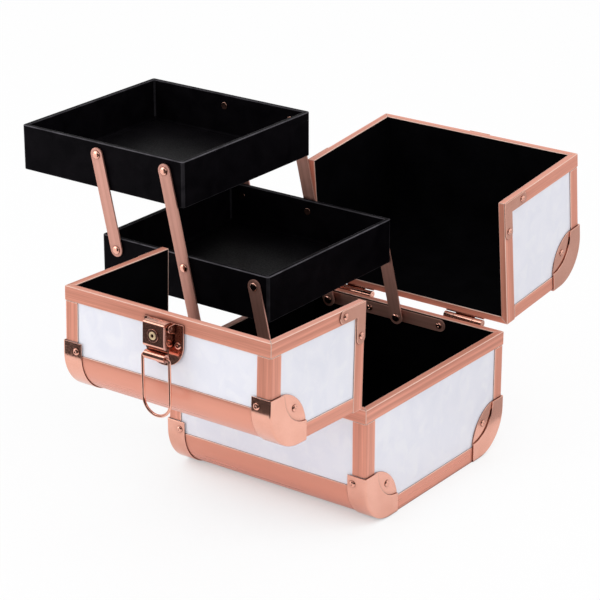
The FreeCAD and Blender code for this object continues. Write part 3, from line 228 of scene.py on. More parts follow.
@dataclass(frozen=True)
class MetalFinish:
    """Rose gold metal, brushed along the grain that each piece carries."""

    name: str
    light: Colour
    dark: Colour
    # Painted highlight on the rounded edges: its colour, and its strength at most.
    highlight_colour: Colour
    highlight_level: float
    gloss: Pair
    flute: Triple = (0.8, 280.0, 280.0)
    hair: Triple = (22.0, 1500.0, 1500.0)
    depth: float = 0.00006
    metallic: float = 1.0
    # Painted shade in crevices: its colour, and how far the occlusion is sought.
    crevice_shade: Colour = (0.15, 0.05, 0.038)
    crevice_reach: float = 3.0 * MM
    flute_detail: float = 1.0
    hair_detail: float = 3.0
    hair_share: float = 0.4
    shade_taken: Pair = (0.36, 0.64)
    # How the painted edge highlight varies along the hairs, and its least share of the strength.
    highlight_taken: Pair = (0.3, 0.6)
    least_highlight: float = 0.5
    # Occlusion range over which the painted crevice shade fades out.
    crevice_taken: Pair = (0.45, 0.92)
    gloss_taken: Pair = (0.3, 0.7)
    relief: float = 0.5

    def material(self) -> Material:
        """Wire the finish.

        Returns:
            A material whose colour, gloss and relief follow the brush lines, with a painted highlight on
            rounded edges and painted shade in crevices.
        """
        wire = Wiring(self.name)
        flutes = wire.noise(wire.place(self.flute, GRAIN), self.flute_detail)
        hairs = wire.noise(wire.place(self.hair, GRAIN), self.hair_detail)
        wide = wire.math("MULTIPLY", flutes, 1.0 - self.hair_share)
        fine = wire.math("MULTIPLY", hairs, self.hair_share)
        brushed = wire.math("ADD", wide, fine)
        bare = wire.tint(wire.span(brushed, self.shade_taken, UNIT), self.dark, self.light)
        # Painted highlight: faces of the rounded edges are lightened towards a paler colour, unevenly along
        # the hairs.
        uneven_highlight = wire.span(hairs, self.highlight_taken, (self.least_highlight * self.highlight_level, self.highlight_level))
        painted_highlight = wire.math("MULTIPLY", wire.mark(EDGE), uneven_highlight)
        # Painted shade: where another surface stands within reach, the colour turns to the dark shade colour,
        # darkening grooves, gaps and rivet seats.
        crevice_open = wire.span(wire.open_air(self.crevice_reach), self.crevice_taken, UNIT)
        with_painted_light = wire.tint(crevice_open, self.crevice_shade, wire.tint(painted_highlight, bare, self.highlight_colour))
        wire.drive("Base Color", with_painted_light)
        wire.drive("Roughness", wire.span(hairs, self.gloss_taken, self.gloss))
        wire.drive("Metallic", self.metallic)
        wire.relief(brushed, self.depth, self.relief)
        return wire.material


@dataclass(frozen=True)
class PearlFinish:
    """Lavender-white laminate with clouded mother-of-pearl mottling."""

    name: str = "pearl_laminate"
    pale: Colour = (0.85, 0.85, 0.91)
    deep: Colour = (0.81, 0.815, 0.885)
    milk: Colour = (0.88, 0.88, 0.92)
    cloud: Triple = (30.0, 30.0, 24.0)
    cloud_detail: float = 4.0
    cloud_twist: float = 1.4
    cloud_taken: Pair = (0.34, 0.62)
    wisp: Triple = (75.0, 75.0, 60.0)
    wisp_detail: float = 3.0
    wisp_twist: float = 0.8
    wisp_taken: Pair = (0.48, 0.70)
    wisp_given: Pair = (0.0, 0.8)
    gloss_taken: Pair = (0.3, 0.7)
    gloss: Pair = (0.30, 0.42)
    lacquer: float = 0.15
    lacquer_gloss: float = 0.2
    fleck: Triple = (900.0, 900.0, 900.0)
    depth: float = 0.00004
    relief: float = 0.25

    def material(self) -> Material:
        """Wire the laminate.

        Returns:
            A pale semi-gloss material with clouds, wisps and a fine tooth.
        """
        wire = Wiring(self.name)
        clouds = wire.noise(wire.place(self.cloud), self.cloud_detail, self.cloud_twist)
        wisps = wire.noise(wire.place(self.wisp), self.wisp_detail, self.wisp_twist)
        body = wire.tint(wire.span(clouds, self.cloud_taken, UNIT), self.deep, self.pale)
        veined = wire.tint(wire.span(wisps, self.wisp_taken, self.wisp_given), body, self.milk)
        wire.drive("Base Color", veined)
        wire.drive("Roughness", wire.span(clouds, self.gloss_taken, self.gloss))
        wire.drive("Coat Weight", self.lacquer)
        wire.drive("Coat Roughness", self.lacquer_gloss)
        wire.relief(wire.noise(wire.place(self.fleck)), self.depth, self.relief)
        return wire.material


@dataclass(frozen=True)
class LeatheretteFinish:
    """Black pebbled leatherette with painted highlights on the rounded edges."""

    name: str = "black_leatherette"
    deep: Colour = (0.0016, 0.0012, 0.0020)
    pale: Colour = (0.0042, 0.0035, 0.0046)
    # Colour of the painted highlight on the rounded edges.
    painted_highlight: Colour = (0.115, 0.108, 0.12)
    pebble: Triple = (850.0, 850.0, 850.0)
    crease: Triple = (60.0, 60.0, 60.0)
    crease_detail: float = 3.0
    crease_twist: float = 0.5
    crease_height: float = 2.0
    tone_taken: Pair = (0.3, 0.7)
    highlight_wave_taken: Pair = (0.35, 0.65)
    highlight_wave_given: Pair = (0.45, 1.0)
    gloss_taken: Pair = (0.1, 0.6)
    gloss: Pair = (0.36, 0.55)
    shine: Pair = (0.018, 0.1)
    depth: float = 0.00015
    relief: float = 0.3

    def material(self) -> Material:
        """Wire the leatherette.

        Returns:
            A dark satin material with grain, soft waves and painted highlights on rounded edges, and more
            shine on the pads.
        """
        wire = Wiring(self.name)
        pebbles = wire.cells(wire.place(self.pebble))
        waves = wire.noise(wire.place(self.crease), self.crease_detail, self.crease_twist)
        tone = wire.tint(wire.span(waves, self.tone_taken, UNIT), self.deep, self.pale)
        # Painted highlight: faces of the rounded edges are lightened unevenly along the waves.
        uneven_highlight = wire.span(waves, self.highlight_wave_taken, self.highlight_wave_given)
        highlight_share = wire.math("MULTIPLY", wire.mark(EDGE), uneven_highlight)
        wire.drive("Base Color", wire.tint(highlight_share, tone, self.painted_highlight))
        wire.drive("Roughness", wire.span(pebbles, self.gloss_taken, self.gloss))
        wire.drive("Specular IOR Level", wire.span(wire.mark(PAD), UNIT, self.shine))
        height = wire.math("ADD", pebbles, wire.math("MULTIPLY", waves, self.crease_height))
        wire.relief(height, self.depth, self.relief)
        return wire.material


@dataclass(frozen=True)
class ClothFinish:
    """Black lining cloth or matte underside board."""

    name: str
    deep: Colour
    pale: Colour
    weave: Triple = (700.0, 700.0, 700.0)
    patch: Triple = (45.0, 45.0, 45.0)
    patch_detail: float = 3.0
    tone_taken: Pair = (0.12, 0.4)
    gloss_taken: Pair = (0.3, 0.7)
    gloss: Pair = (0.85, 1.0)
    shine: float = 0.04
    depth: float = 0.00025
    relief: float = 0.5

    def material(self) -> Material:
        """Wire the cloth.

        Returns:
            A matte dark material with a fine weave and faint patches.
        """
        wire = Wiring(self.name)
        threads = wire.noise(wire.place(self.weave))
        patches = wire.noise(wire.place(self.patch), self.patch_detail)
        mixed = wire.span(wire.math("MULTIPLY", threads, patches), self.tone_taken, UNIT)
        wire.drive("Base Color", wire.tint(mixed, self.deep, self.pale))
        wire.drive("Roughness", wire.span(threads, self.gloss_taken, self.gloss))
        wire.drive("Specular IOR Level", self.shine)
        wire.relief(threads, self.depth, self.relief)
        return wire.material


SMOOTH = MetalFinish(
    "smooth_satin_rose_gold",
    light=(0.81, 0.335, 0.235),
    dark=(0.77, 0.315, 0.22),
    highlight_colour=(1.0, 0.70, 0.58),
    highlight_level=1.0,
    gloss=(0.26, 0.32),
    flute=(0.8, 60.0, 60.0),
    hair=(6.0, 220.0, 220.0),
    depth=0.00001,
    metallic=0.45,
)
BRASS = MetalFinish(
    "lock_brass",
    light=(0.86, 0.68, 0.42),
    dark=(0.74, 0.55, 0.32),
    highlight_colour=(0.95, 0.82, 0.6),
    highlight_level=0.6,
    gloss=(0.2, 0.3),
    metallic=0.45,
)
FINISHES = {
    Slot.PANEL: PearlFinish(),
    Slot.LEATHERETTE: LeatheretteFinish(),
    Slot.LINING: ClothFinish("black_lining", deep=(0.0004, 0.0004, 0.0008), pale=(0.0022, 0.0021, 0.0028)),
    Slot.UNDERSIDE: ClothFinish("black_underside", deep=(0.014, 0.014, 0.015), pale=(0.03, 0.03, 0.032)),
    Slot.SATIN: MetalFinish(
        "satin_rose_gold",
        light=(0.86, 0.36, 0.253),
        dark=(0.62, 0.235, 0.158),
        highlight_colour=(1.0, 0.70, 0.58),
        highlight_level=1.0,
        gloss=(0.30, 0.42),
        metallic=0.25,
    ),
    Slot.POLISHED: MetalFinish(
        "polished_rose_gold",
        light=(0.95, 0.50, 0.385),
        dark=(0.88, 0.44, 0.33),
        highlight_colour=(0.98, 0.62, 0.50),
        highlight_level=0.5,
        gloss=(0.10, 0.20),
        flute=(40.0, 60.0, 60.0),
        hair=(400.0, 900.0, 900.0),
        depth=0.00002,
    ),
    Slot.STRIP: MetalFinish(
        "strip_rose_gold",
        light=(0.66, 0.34, 0.27),
        dark=(0.56, 0.275, 0.215),
        highlight_colour=(0.86, 0.5, 0.4),
        highlight_level=0.7,
        gloss=(0.34, 0.44),
        metallic=0.7,
    ),
    Slot.GRIP: MetalFinish(
        "grip_rose_gold",
        light=(0.70, 0.33, 0.24),
        dark=(0.58, 0.26, 0.185),
        highlight_colour=(0.80, 0.42, 0.32),
        highlight_level=0.4,
        gloss=(0.32, 0.42),
        metallic=0.75,
    ),
}


class Finishes:
    """One material for each slot of the record, smooth satin for extrusions, and brass for the lock."""

    def __init__(self) -> None:
        """Wire every finish once."""
        self.smooth = SMOOTH.material()
        self.brass = BRASS.material()
        self.of = {slot: finish.material() for slot, finish in FINISHES.items()}


def solids_of(node: str) -> list[Solid]:
    """Split a CAD node's loose triangles into its closed solids.

    Args:
        node: name of the CAD node.

    Returns:
        One welded mesh for each solid, in the order of the node's triangles.
    """
    mesh = NODES[node].data
    places = [tuple(round(part / WELD) for part in vertex.co) for vertex in mesh.vertices]
    groups: list[list[tuple[int, ...]]] = []
    current: list[tuple[int, ...]] = []
    unmatched: set[frozenset] = set()
    for polygon in mesh.polygons:
        ring = tuple(polygon.vertices)
        current.append(ring)
        for here, there in zip(ring, ring[1:] + ring[:1]):
            if places[here] != places[there]:
                unmatched ^= {frozenset((places[here], places[there]))}
        if not unmatched:
            groups.append(current)
            current = []
    if current:
        groups.append(current)
    solids = []
    for group in groups:
        solid = bmesh.new()
        made: dict[tuple[int, ...], bmesh.types.BMVert] = {}
        for ring in group:
            corners = []
            for index in ring:
                if places[index] not in made:
                    made[places[index]] = solid.verts.new(mesh.vertices[index].co)
                corners.append(made[places[index]])
            if len(set(corners)) == len(corners) and solid.faces.get(corners) is None:
                solid.faces.new(corners)
        solid.normal_update()
        solids.append(solid)
    return solids


def grain_axes(solid: Solid) -> tuple[np.ndarray, np.ndarray]:
    """Find the direction in which a piece was drawn.

    Args:
        solid: one closed solid.

    Returns:
        Its centre, and its axes as rows from the longest to the shortest.
    """
    points = np.array([vertex.co for vertex in solid.verts])
    centre = points.mean(axis=0)
    axes = np.linalg.svd(points - centre, full_matrices=False)[2]
    return centre, axes


def round_edges(solid: Solid, radius: float) -> set[int]:
    """Clear the triangulation of flat faces and round the hard outer edges.

    Args:
        solid: one closed solid, changed in place.
        radius: how far the rounding reaches from an edge, in metres.

    Returns:
        Indices of the faces that the rounding made.
    """
    mark = solid.faces.layers.int.new("rounded")
    bmesh.ops.dissolve_limit(
        solid, angle_limit=FLAT_ANGLE, verts=solid.verts[:], edges=solid.edges[:], delimit=set()
    )
    hard = [
        edge
        for edge in solid.edges
        if len(edge.link_faces) == 2 and edge.is_convex and edge.calc_face_angle(0.0) > HARD_ANGLE
    ]
    if hard and radius > 0.0:
        made = bmesh.ops.bevel(
            solid,
            geom=hard,
            offset=radius,
            offset_type="OFFSET",
            segments=ROUND_STEPS,
            profile=ROUND_PROFILE,
            affect="EDGES",
            clamp_overlap=True,
        )
        for face in made["faces"]:
            face[mark] = 1
    bmesh.ops.remove_doubles(solid, verts=solid.verts[:], dist=MERGE)
    bmesh.ops.dissolve_degenerate(solid, edges=solid.edges[:], dist=MERGE)
    solid.faces.index_update()
    return {face.index for face in solid.faces if face[mark]}


def gather(name: str, solids: list[Solid], radius: float) -> bpy.types.Mesh:
    """Round each solid, and write its grain and edge marks into one mesh.

    Args:
        name: name of the new mesh.
        solids: closed solids, freed afterwards.
        radius: edge rounding in metres, or 0 for none.

    Returns:
        The finished mesh.
    """
    points: list[Vector] = []
    faces: list[list[int]] = []
    marks: list[float] = []
    grain: list[np.ndarray] = []
    for solid in solids:
        centre, axes = grain_axes(solid)
        rounded = round_edges(solid, radius)
        solid.verts.index_update()
        start = len(points)
        points.extend(vertex.co.copy() for vertex in solid.verts)
        grain.append((np.array([vertex.co for vertex in solid.verts]) - centre) @ axes.T)
        for face in solid.faces:
            faces.append([start + vertex.index for vertex in face.verts])
            marks.append(1.0 if face.index in rounded else 0.0)
        solid.free()
    mesh = bpy.data.meshes.new(name)
    mesh.from_pydata(points, [], faces)
    along = np.concatenate(grain).astype(np.float32)
    mesh.attributes.new(GRAIN, "FLOAT_VECTOR", "POINT").data.foreach_set("vector", along.ravel())
    edges = np.array(marks, dtype=np.float32)
    mesh.attributes.new(EDGE, "FLOAT", "FACE").data.foreach_set("value", edges)
    mesh.shade_smooth()
    mesh.set_sharp_from_angle(angle=SMOOTH_ANGLE)
    return mesh


def show(name: str, data: bpy.types.ID) -> Piece:
    """Make an object of some data and put it in the scene."""
    made = bpy.data.objects.new(name, data)
    bpy.context.scene.collection.objects.link(made)
    return made


def settle(mesh: bpy.types.Mesh, body: str, material: Material) -> Piece:
    """Make a finished mesh a piece that rides on a body.

    Args:
        mesh: mesh with its place in its vertices.
        body: body that the piece moves with.
        material: finish of the piece.

    Returns:
        The new object.
    """
    piece = show(mesh.name, mesh)
    mesh.materials.clear()
    mesh.materials.append(material)
    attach(piece, body)
    LOG.info("%s rides on %s", piece.name, body)
    return piece


def even_normals(piece: Piece) -> None:
    """Shade flat faces flat beside their rounded edges."""
    weighted = piece.modifiers.new("even_normals", "WEIGHTED_NORMAL")
    weighted.keep_sharp = True


def soft_copy(node: str, radius: float, finishes: Finishes, slot: Slot) -> Piece:
    """Stand in for a CAD node with rounded edges and its own grain.

    Args:
        node: CAD node that is replaced.
        radius: edge rounding in metres.
        finishes: materials by slot.
        slot: slot of the node.

    Returns:
        The new object.
    """
    mesh = gather(node + "_soft", solids_of(node), radius)
    piece = settle(mesh, BODY_OF[node], finishes.of[slot])
    even_normals(piece)
    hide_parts(node)
    return piece


def coat(node: str, finishes: Finishes, slot: Slot) -> None:
    """Give a CAD node that stays in view its finish."""
    piece = NODES[node]
    if piece.material_slots:
        piece.material_slots[0].material = finishes.of[slot]
    else:
        piece.data.materials.append(finishes.of[slot])
    LOG.info("%s coated as %s", node, slot.value)


@dataclass(frozen=True)
class RivetSeat:
    """Seat of one rivet head: its centre, outward direction, radius and rise."""

    centre: Vector
    outward: Vector
    radius: float
    rise: float

    @classmethod
    def of_solid(cls, solid: Solid) -> "RivetSeat":
        """Read a seat from the domed solid that stands on it.

        Args:
            solid: closed solid of a rivet head.

        Returns:
            The seat.
        """
        centre, axes = grain_axes(solid)
        axis = axes[2]
        offsets = np.array([vertex.co for vertex in solid.verts]) - centre
        heights = offsets @ axis
        reach = np.linalg.norm(offsets - np.outer(heights, axis), axis=1)
        if heights[reach.argmax()] > heights.mean():
            axis = -axis
            heights = -heights
        seat = Vector(centre + axis * heights.min())
        return cls(seat, Vector(axis), float(reach.max()), float(np.ptp(heights)))


@dataclass
class RivetHeads:
    """Hollow-set rivet heads made by one geometry node tree for each body."""

    radius: float = 2.9 * MM
    rise: float = 1.5 * MM
    dimple_radius: float = 1.0 * MM
    dimple_share: float = 0.36
    dimple_depth: float = 0.55 * MM
    sink: float = 0.25 * MM
    around: int = 20
    rings: int = 14
    crown_share: float = 0.75

    def tree(self, material: Material) -> bpy.types.NodeTree:
        """Build the tree that sets a head on each seat.

        Args:
            material: finish of the heads.

        Returns:
            The node tree.
        """
        tree = bpy.data.node_groups.new("rivet_heads", "GeometryNodeTree")
        face = tree.interface
        face.new_socket(name="Seats", in_out="INPUT", socket_type="NodeSocketGeometry")
        for name, number in (
            ("Head Radius", self.radius),
            ("Head Rise", self.rise),
            ("Dimple Radius", self.dimple_radius),
            ("Dimple Depth", self.dimple_depth),
            ("Sink", self.sink),
        ):
            face.new_socket(name=name, in_out="INPUT", socket_type="NodeSocketFloat").default_value = number
        for name, count in (("Around", self.around), ("Rings", self.rings)):
            face.new_socket(name=name, in_out="INPUT", socket_type="NodeSocketInt").default_value = count
        face.new_socket(name="Heads", in_out="OUTPUT", socket_type="NodeSocketGeometry")
        graph = Graph(tree)
        work = graph.math
        given = graph.add("NodeGroupInput").outputs
        around = work("ADD", given["Around"], 1.0)
        rings = work("ADD", given["Rings"], 1.0)
        grid = graph.add(
            "GeometryNodeMeshGrid", {"Size X": 1.0, "Size Y": 1.0, "Vertices X": around, "Vertices Y": rings}
        )
        position = graph.add("GeometryNodeInputPosition").outputs[0]
        split = graph.add("ShaderNodeSeparateXYZ", {0: position})
        angle = work("MULTIPLY", work("SUBTRACT", 0.5, split.outputs[0]), 2.0 * math.pi)
        along = work("ADD", split.outputs[1], 0.5)
        rise_turn = work("MULTIPLY", graph.span(along, (0.0, self.crown_share), UNIT), 0.5 * math.pi)
        under = graph.span(along, (self.crown_share, 1.0), (1.0, 0.0))
        reach = work("MULTIPLY", work("MULTIPLY", given["Head Radius"], work("SINE", rise_turn)), under)
        share = work("DIVIDE", reach, given["Dimple Radius"])
        bowl = work("MAXIMUM", work("SUBTRACT", 1.0, work("MULTIPLY", share, share)), 0.0)
        upper = work("LESS_THAN", along, self.crown_share)
        drop = work("MULTIPLY", work("MULTIPLY", bowl, upper), given["Dimple Depth"])
        dome = work("SUBTRACT", work("MULTIPLY", given["Head Rise"], work("COSINE", rise_turn)), drop)
        height = work("SUBTRACT", dome, work("MULTIPLY", work("SUBTRACT", 1.0, upper), given["Sink"]))
        across = work("MULTIPLY", reach, work("COSINE", angle))
        beside = work("MULTIPLY", reach, work("SINE", angle))
        spot = graph.add("ShaderNodeCombineXYZ", {0: across, 1: beside, 2: height}).outputs[0]
        shaped = graph.add("GeometryNodeSetPosition", {"Geometry": grid.outputs["Mesh"], "Position": spot})
        closed = graph.add("GeometryNodeMergeByDistance", {"Geometry": shaped.outputs[0], "Distance": WELD})
        outward = graph.add("GeometryNodeInputNamedAttribute", {"Name": OUTWARD}, data_type="FLOAT_VECTOR")
        facing = {"Vector": outward.outputs["Attribute"]}
        turned = graph.add("FunctionNodeAlignRotationToVector", facing, axis="Z")
        heads = graph.add(
            "GeometryNodeInstanceOnPoints",
            {"Points": given["Seats"], "Instance": closed.outputs[0], "Rotation": turned.outputs[0]},
        )
        real = graph.add("GeometryNodeRealizeInstances", {0: heads.outputs[0]})
        finish = graph.add("GeometryNodeSetMaterial", {"Geometry": real.outputs[0], "Material": material})
        graph.add("NodeGroupOutput", {0: finish.outputs[0]})
        return tree

    def build(self, name: str, nodes: list[str], finishes: Finishes) -> Piece:
        """Set heads on the seats of one body's rivet nodes.

        Args:
            name: name of the new piece.
            nodes: rivet nodes of one body.
            finishes: materials by slot.

        Returns:
            One piece with all heads of the body.
        """
        seats = []
        for solid in [solid for node in nodes for solid in solids_of(node)]:
            seats.append(RivetSeat.of_solid(solid))
            solid.free()
        mesh = bpy.data.meshes.new(name + "_seats")
        mesh.from_pydata([seat.centre for seat in seats], [], [])
        outward = np.array([seat.outward for seat in seats], dtype=np.float32)
        mesh.attributes.new(OUTWARD, "FLOAT_VECTOR", "POINT").data.foreach_set("vector", outward.ravel())
        carrier = show(name + "_seats", mesh)
        material = finishes.of[Slot.POLISHED]
        tree = self.tree(material)
        modifier = carrier.modifiers.new("heads", "NODES")
        modifier.node_group = tree
        radius = float(np.median([seat.radius for seat in seats]))
        sizes = {
            "Head Radius": radius,
            "Head Rise": float(np.median([seat.rise for seat in seats])),
            "Dimple Radius": radius * self.dimple_share,
        }
        for item in tree.interface.items_tree:
            if item.in_out == "INPUT" and item.name in sizes:
                modifier[item.identifier] = sizes[item.name]
        evaluated = carrier.evaluated_get(bpy.context.evaluated_depsgraph_get())
        heads = bpy.data.meshes.new_from_object(evaluated)
        heads.name = name
        carrier.modifiers.remove(modifier)
        bpy.data.objects.remove(carrier)
        heads.shade_smooth()
        piece = settle(heads, BODY_OF[nodes[0]], material)
        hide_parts(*nodes)
        return piece


@dataclass
class Metalwork:
    """Metal pieces of one sub-assembly, with the edge rounding of each in metres."""

    satin: dict[str, float] = field(default_factory=dict)
    polished: dict[str, float] = field(default_factory=dict)
    strips: dict[str, float] = field(default_factory=dict)
    grips: dict[str, float] = field(default_factory=dict)
    smooth: tuple[str, ...] = ()

    def build(self, finishes: Finishes) -> None:
        """Replace every listed node by its softened copy, with smooth satin where that is named."""
        for slot, group in (
            (Slot.SATIN, self.satin),
            (Slot.POLISHED, self.polished),
            (Slot.STRIP, self.strips),
            (Slot.GRIP, self.grips),
        ):
            for node, radius in group.items():
                piece = soft_copy(node, radius, finishes, slot)
                if node in self.smooth:
                    piece.data.materials[0] = finishes.smooth


@dataclass
class BaseBox:
    """Base of the case: boards, profiles, protectors, hinges and lining."""

    profile_edge: float = 0.5 * MM
    plate_edge: float = 0.4 * MM
    small_edge: float = 0.25 * MM

    def build(self, finishes: Finishes) -> None:
        """Make the base's metalwork and rivet heads."""
        profiles = ("base_round_edges", "base_end_bands", "base_corner_posts", "base_rim")
        Metalwork(
            satin=dict.fromkeys(profiles, self.profile_edge),
            polished={
                "base_protectors": self.plate_edge,
                "base_hinges": self.small_edge,
                "hinge_pins": self.small_edge,
                "base_pivots": self.small_edge,
            },
            strips={"pivot_strips": self.plate_edge},
            smooth=("base_round_edges", "base_end_bands"),
        ).build(finishes)
        RivetHeads().build("base_rivet_heads", ["base_rivets", "strip_rivets"], finishes)

    def dress(self, finishes: Finishes) -> None:
        """Coat the boards and the lining."""
        for side in ("front", "rear", "right", "left"):
            coat("base_%s_panel" % side, finishes, Slot.PANEL)
        coat("base_floor_panel", finishes, Slot.UNDERSIDE)
        coat("base_lining", finishes, Slot.LINING)


@dataclass
class HalfLid:
    """One of the two half lids."""

    side: str
    profile_edge: float = 0.5 * MM
    plate_edge: float = 0.4 * MM
    small_edge: float = 0.25 * MM

    def build(self, finishes: Finishes) -> None:
        """Make the lid's metalwork and rivet heads."""
        lid = self.side + "_lid_"
        profiles = (lid + "round_edge", lid + "corner_posts", lid + "rim")
        Metalwork(
            satin=dict.fromkeys(profiles, self.profile_edge),
            polished={
                lid + "protectors": self.plate_edge,
                lid + "braces": self.plate_edge,
                lid + "hinges": self.small_edge,
            },
            smooth=(lid + "round_edge",),
        ).build(finishes)
        nodes = [lid + "rivets"]
        if self.side == "front":
            nodes.append("clasp_rivets")
        RivetHeads().build(lid + "rivet_heads", nodes, finishes)

    def dress(self, finishes: Finishes) -> None:
        """Coat the boards and the lining."""
        lid = self.side + "_lid_"
        for board in ("top", "face", "right", "left"):
            coat(lid + board + "_panel", finishes, Slot.PANEL)
        coat(lid + "lining", finishes, Slot.LINING)


@dataclass
class LockFace:
    """Brass ring round the keyhole, on the face of the lock barrel."""

    outer: float = 3.3 * MM
    inner: float = 1.3 * MM
    rise: float = 0.6 * MM
    sink: float = 0.2 * MM
    lip: float = 0.45 * MM
    around: int = 32
    steps: int = 6

    def build(self, finishes: Finishes) -> Piece:
        """Lower the barrel's face a little and turn the ring on it, level with the old face.

        Args:
            finishes: materials by slot, and the lock's brass.

        Returns:
            The ring.
        """
        turn = next(joint for joint in frame["record"]["behaviour"]["joints"] if joint["name"] == "lock_turn")
        points = [vertex.co.copy() for vertex in NODES["lock_barrel"].data.vertices]
        axis = Vector(turn["axis"]).normalized()
        if axis.y > 0.0:
            axis = -axis
        top = max(point.dot(axis) for point in points)
        middle = sum(points, Vector()) / len(points)
        face = middle + axis * (top - self.rise - middle.dot(axis))
        for vertex in bpy.data.objects["lock_barrel_soft"].data.vertices:
            if vertex.co.dot(axis) > top - self.lip:
                vertex.co -= axis * self.rise
        across = axis.cross(Vector((1.0, 0.0, 0.0))).normalized()
        beside = axis.cross(across)
        half = (self.outer - self.inner) / 2
        profile = [(self.outer, -self.sink)]
        for step in range(self.steps + 1):
            angle = math.pi * step / self.steps
            profile.append((self.inner + half * (1.0 + math.cos(angle)), self.rise * math.sin(angle)))
        profile.append((self.inner, -self.sink))
        rows = []
        for number in range(self.around):
            angle = 2.0 * math.pi * number / self.around
            spoke = across * math.cos(angle) + beside * math.sin(angle)
            rows.extend(face + spoke * reach + axis * height for reach, height in profile)
        count = len(profile)
        faces = []
        for number in range(self.around):
            here, there = number * count, (number + 1) % self.around * count
            for step in range(count):
                after = (step + 1) % count
                faces.append((here + step, there + step, there + after, here + after))
        mesh = bpy.data.meshes.new("lock_face_ring")
        mesh.from_pydata(rows, [], faces)
        mesh.shade_smooth()
        return settle(mesh, BODY_OF["lock_barrel"], finishes.brass)


@dataclass
class ClaspAndHandle:
    """Clasp on the front lid, and the catch and folding handle on the rear lid."""

    plate_edge: float = 0.35 * MM
    small_edge: float = 0.2 * MM

    def build(self, finishes: Finishes) -> None:
        """Make the clasp, the catch and the handle."""
        Metalwork(
            polished={
                "clasp_plate": self.plate_edge,
                "clasp_pin": self.small_edge,
                "clasp_lever": self.plate_edge,
                "lock_barrel": self.small_edge,
                "clasp_bail": 0.0,
                "catch_hook": self.plate_edge,
                "handle_brackets": self.plate_edge,
                "handle_frame": self.small_edge,
            },
            grips={"handle_grip": self.plate_edge},
        ).build(finishes)
        LockFace().build(finishes)


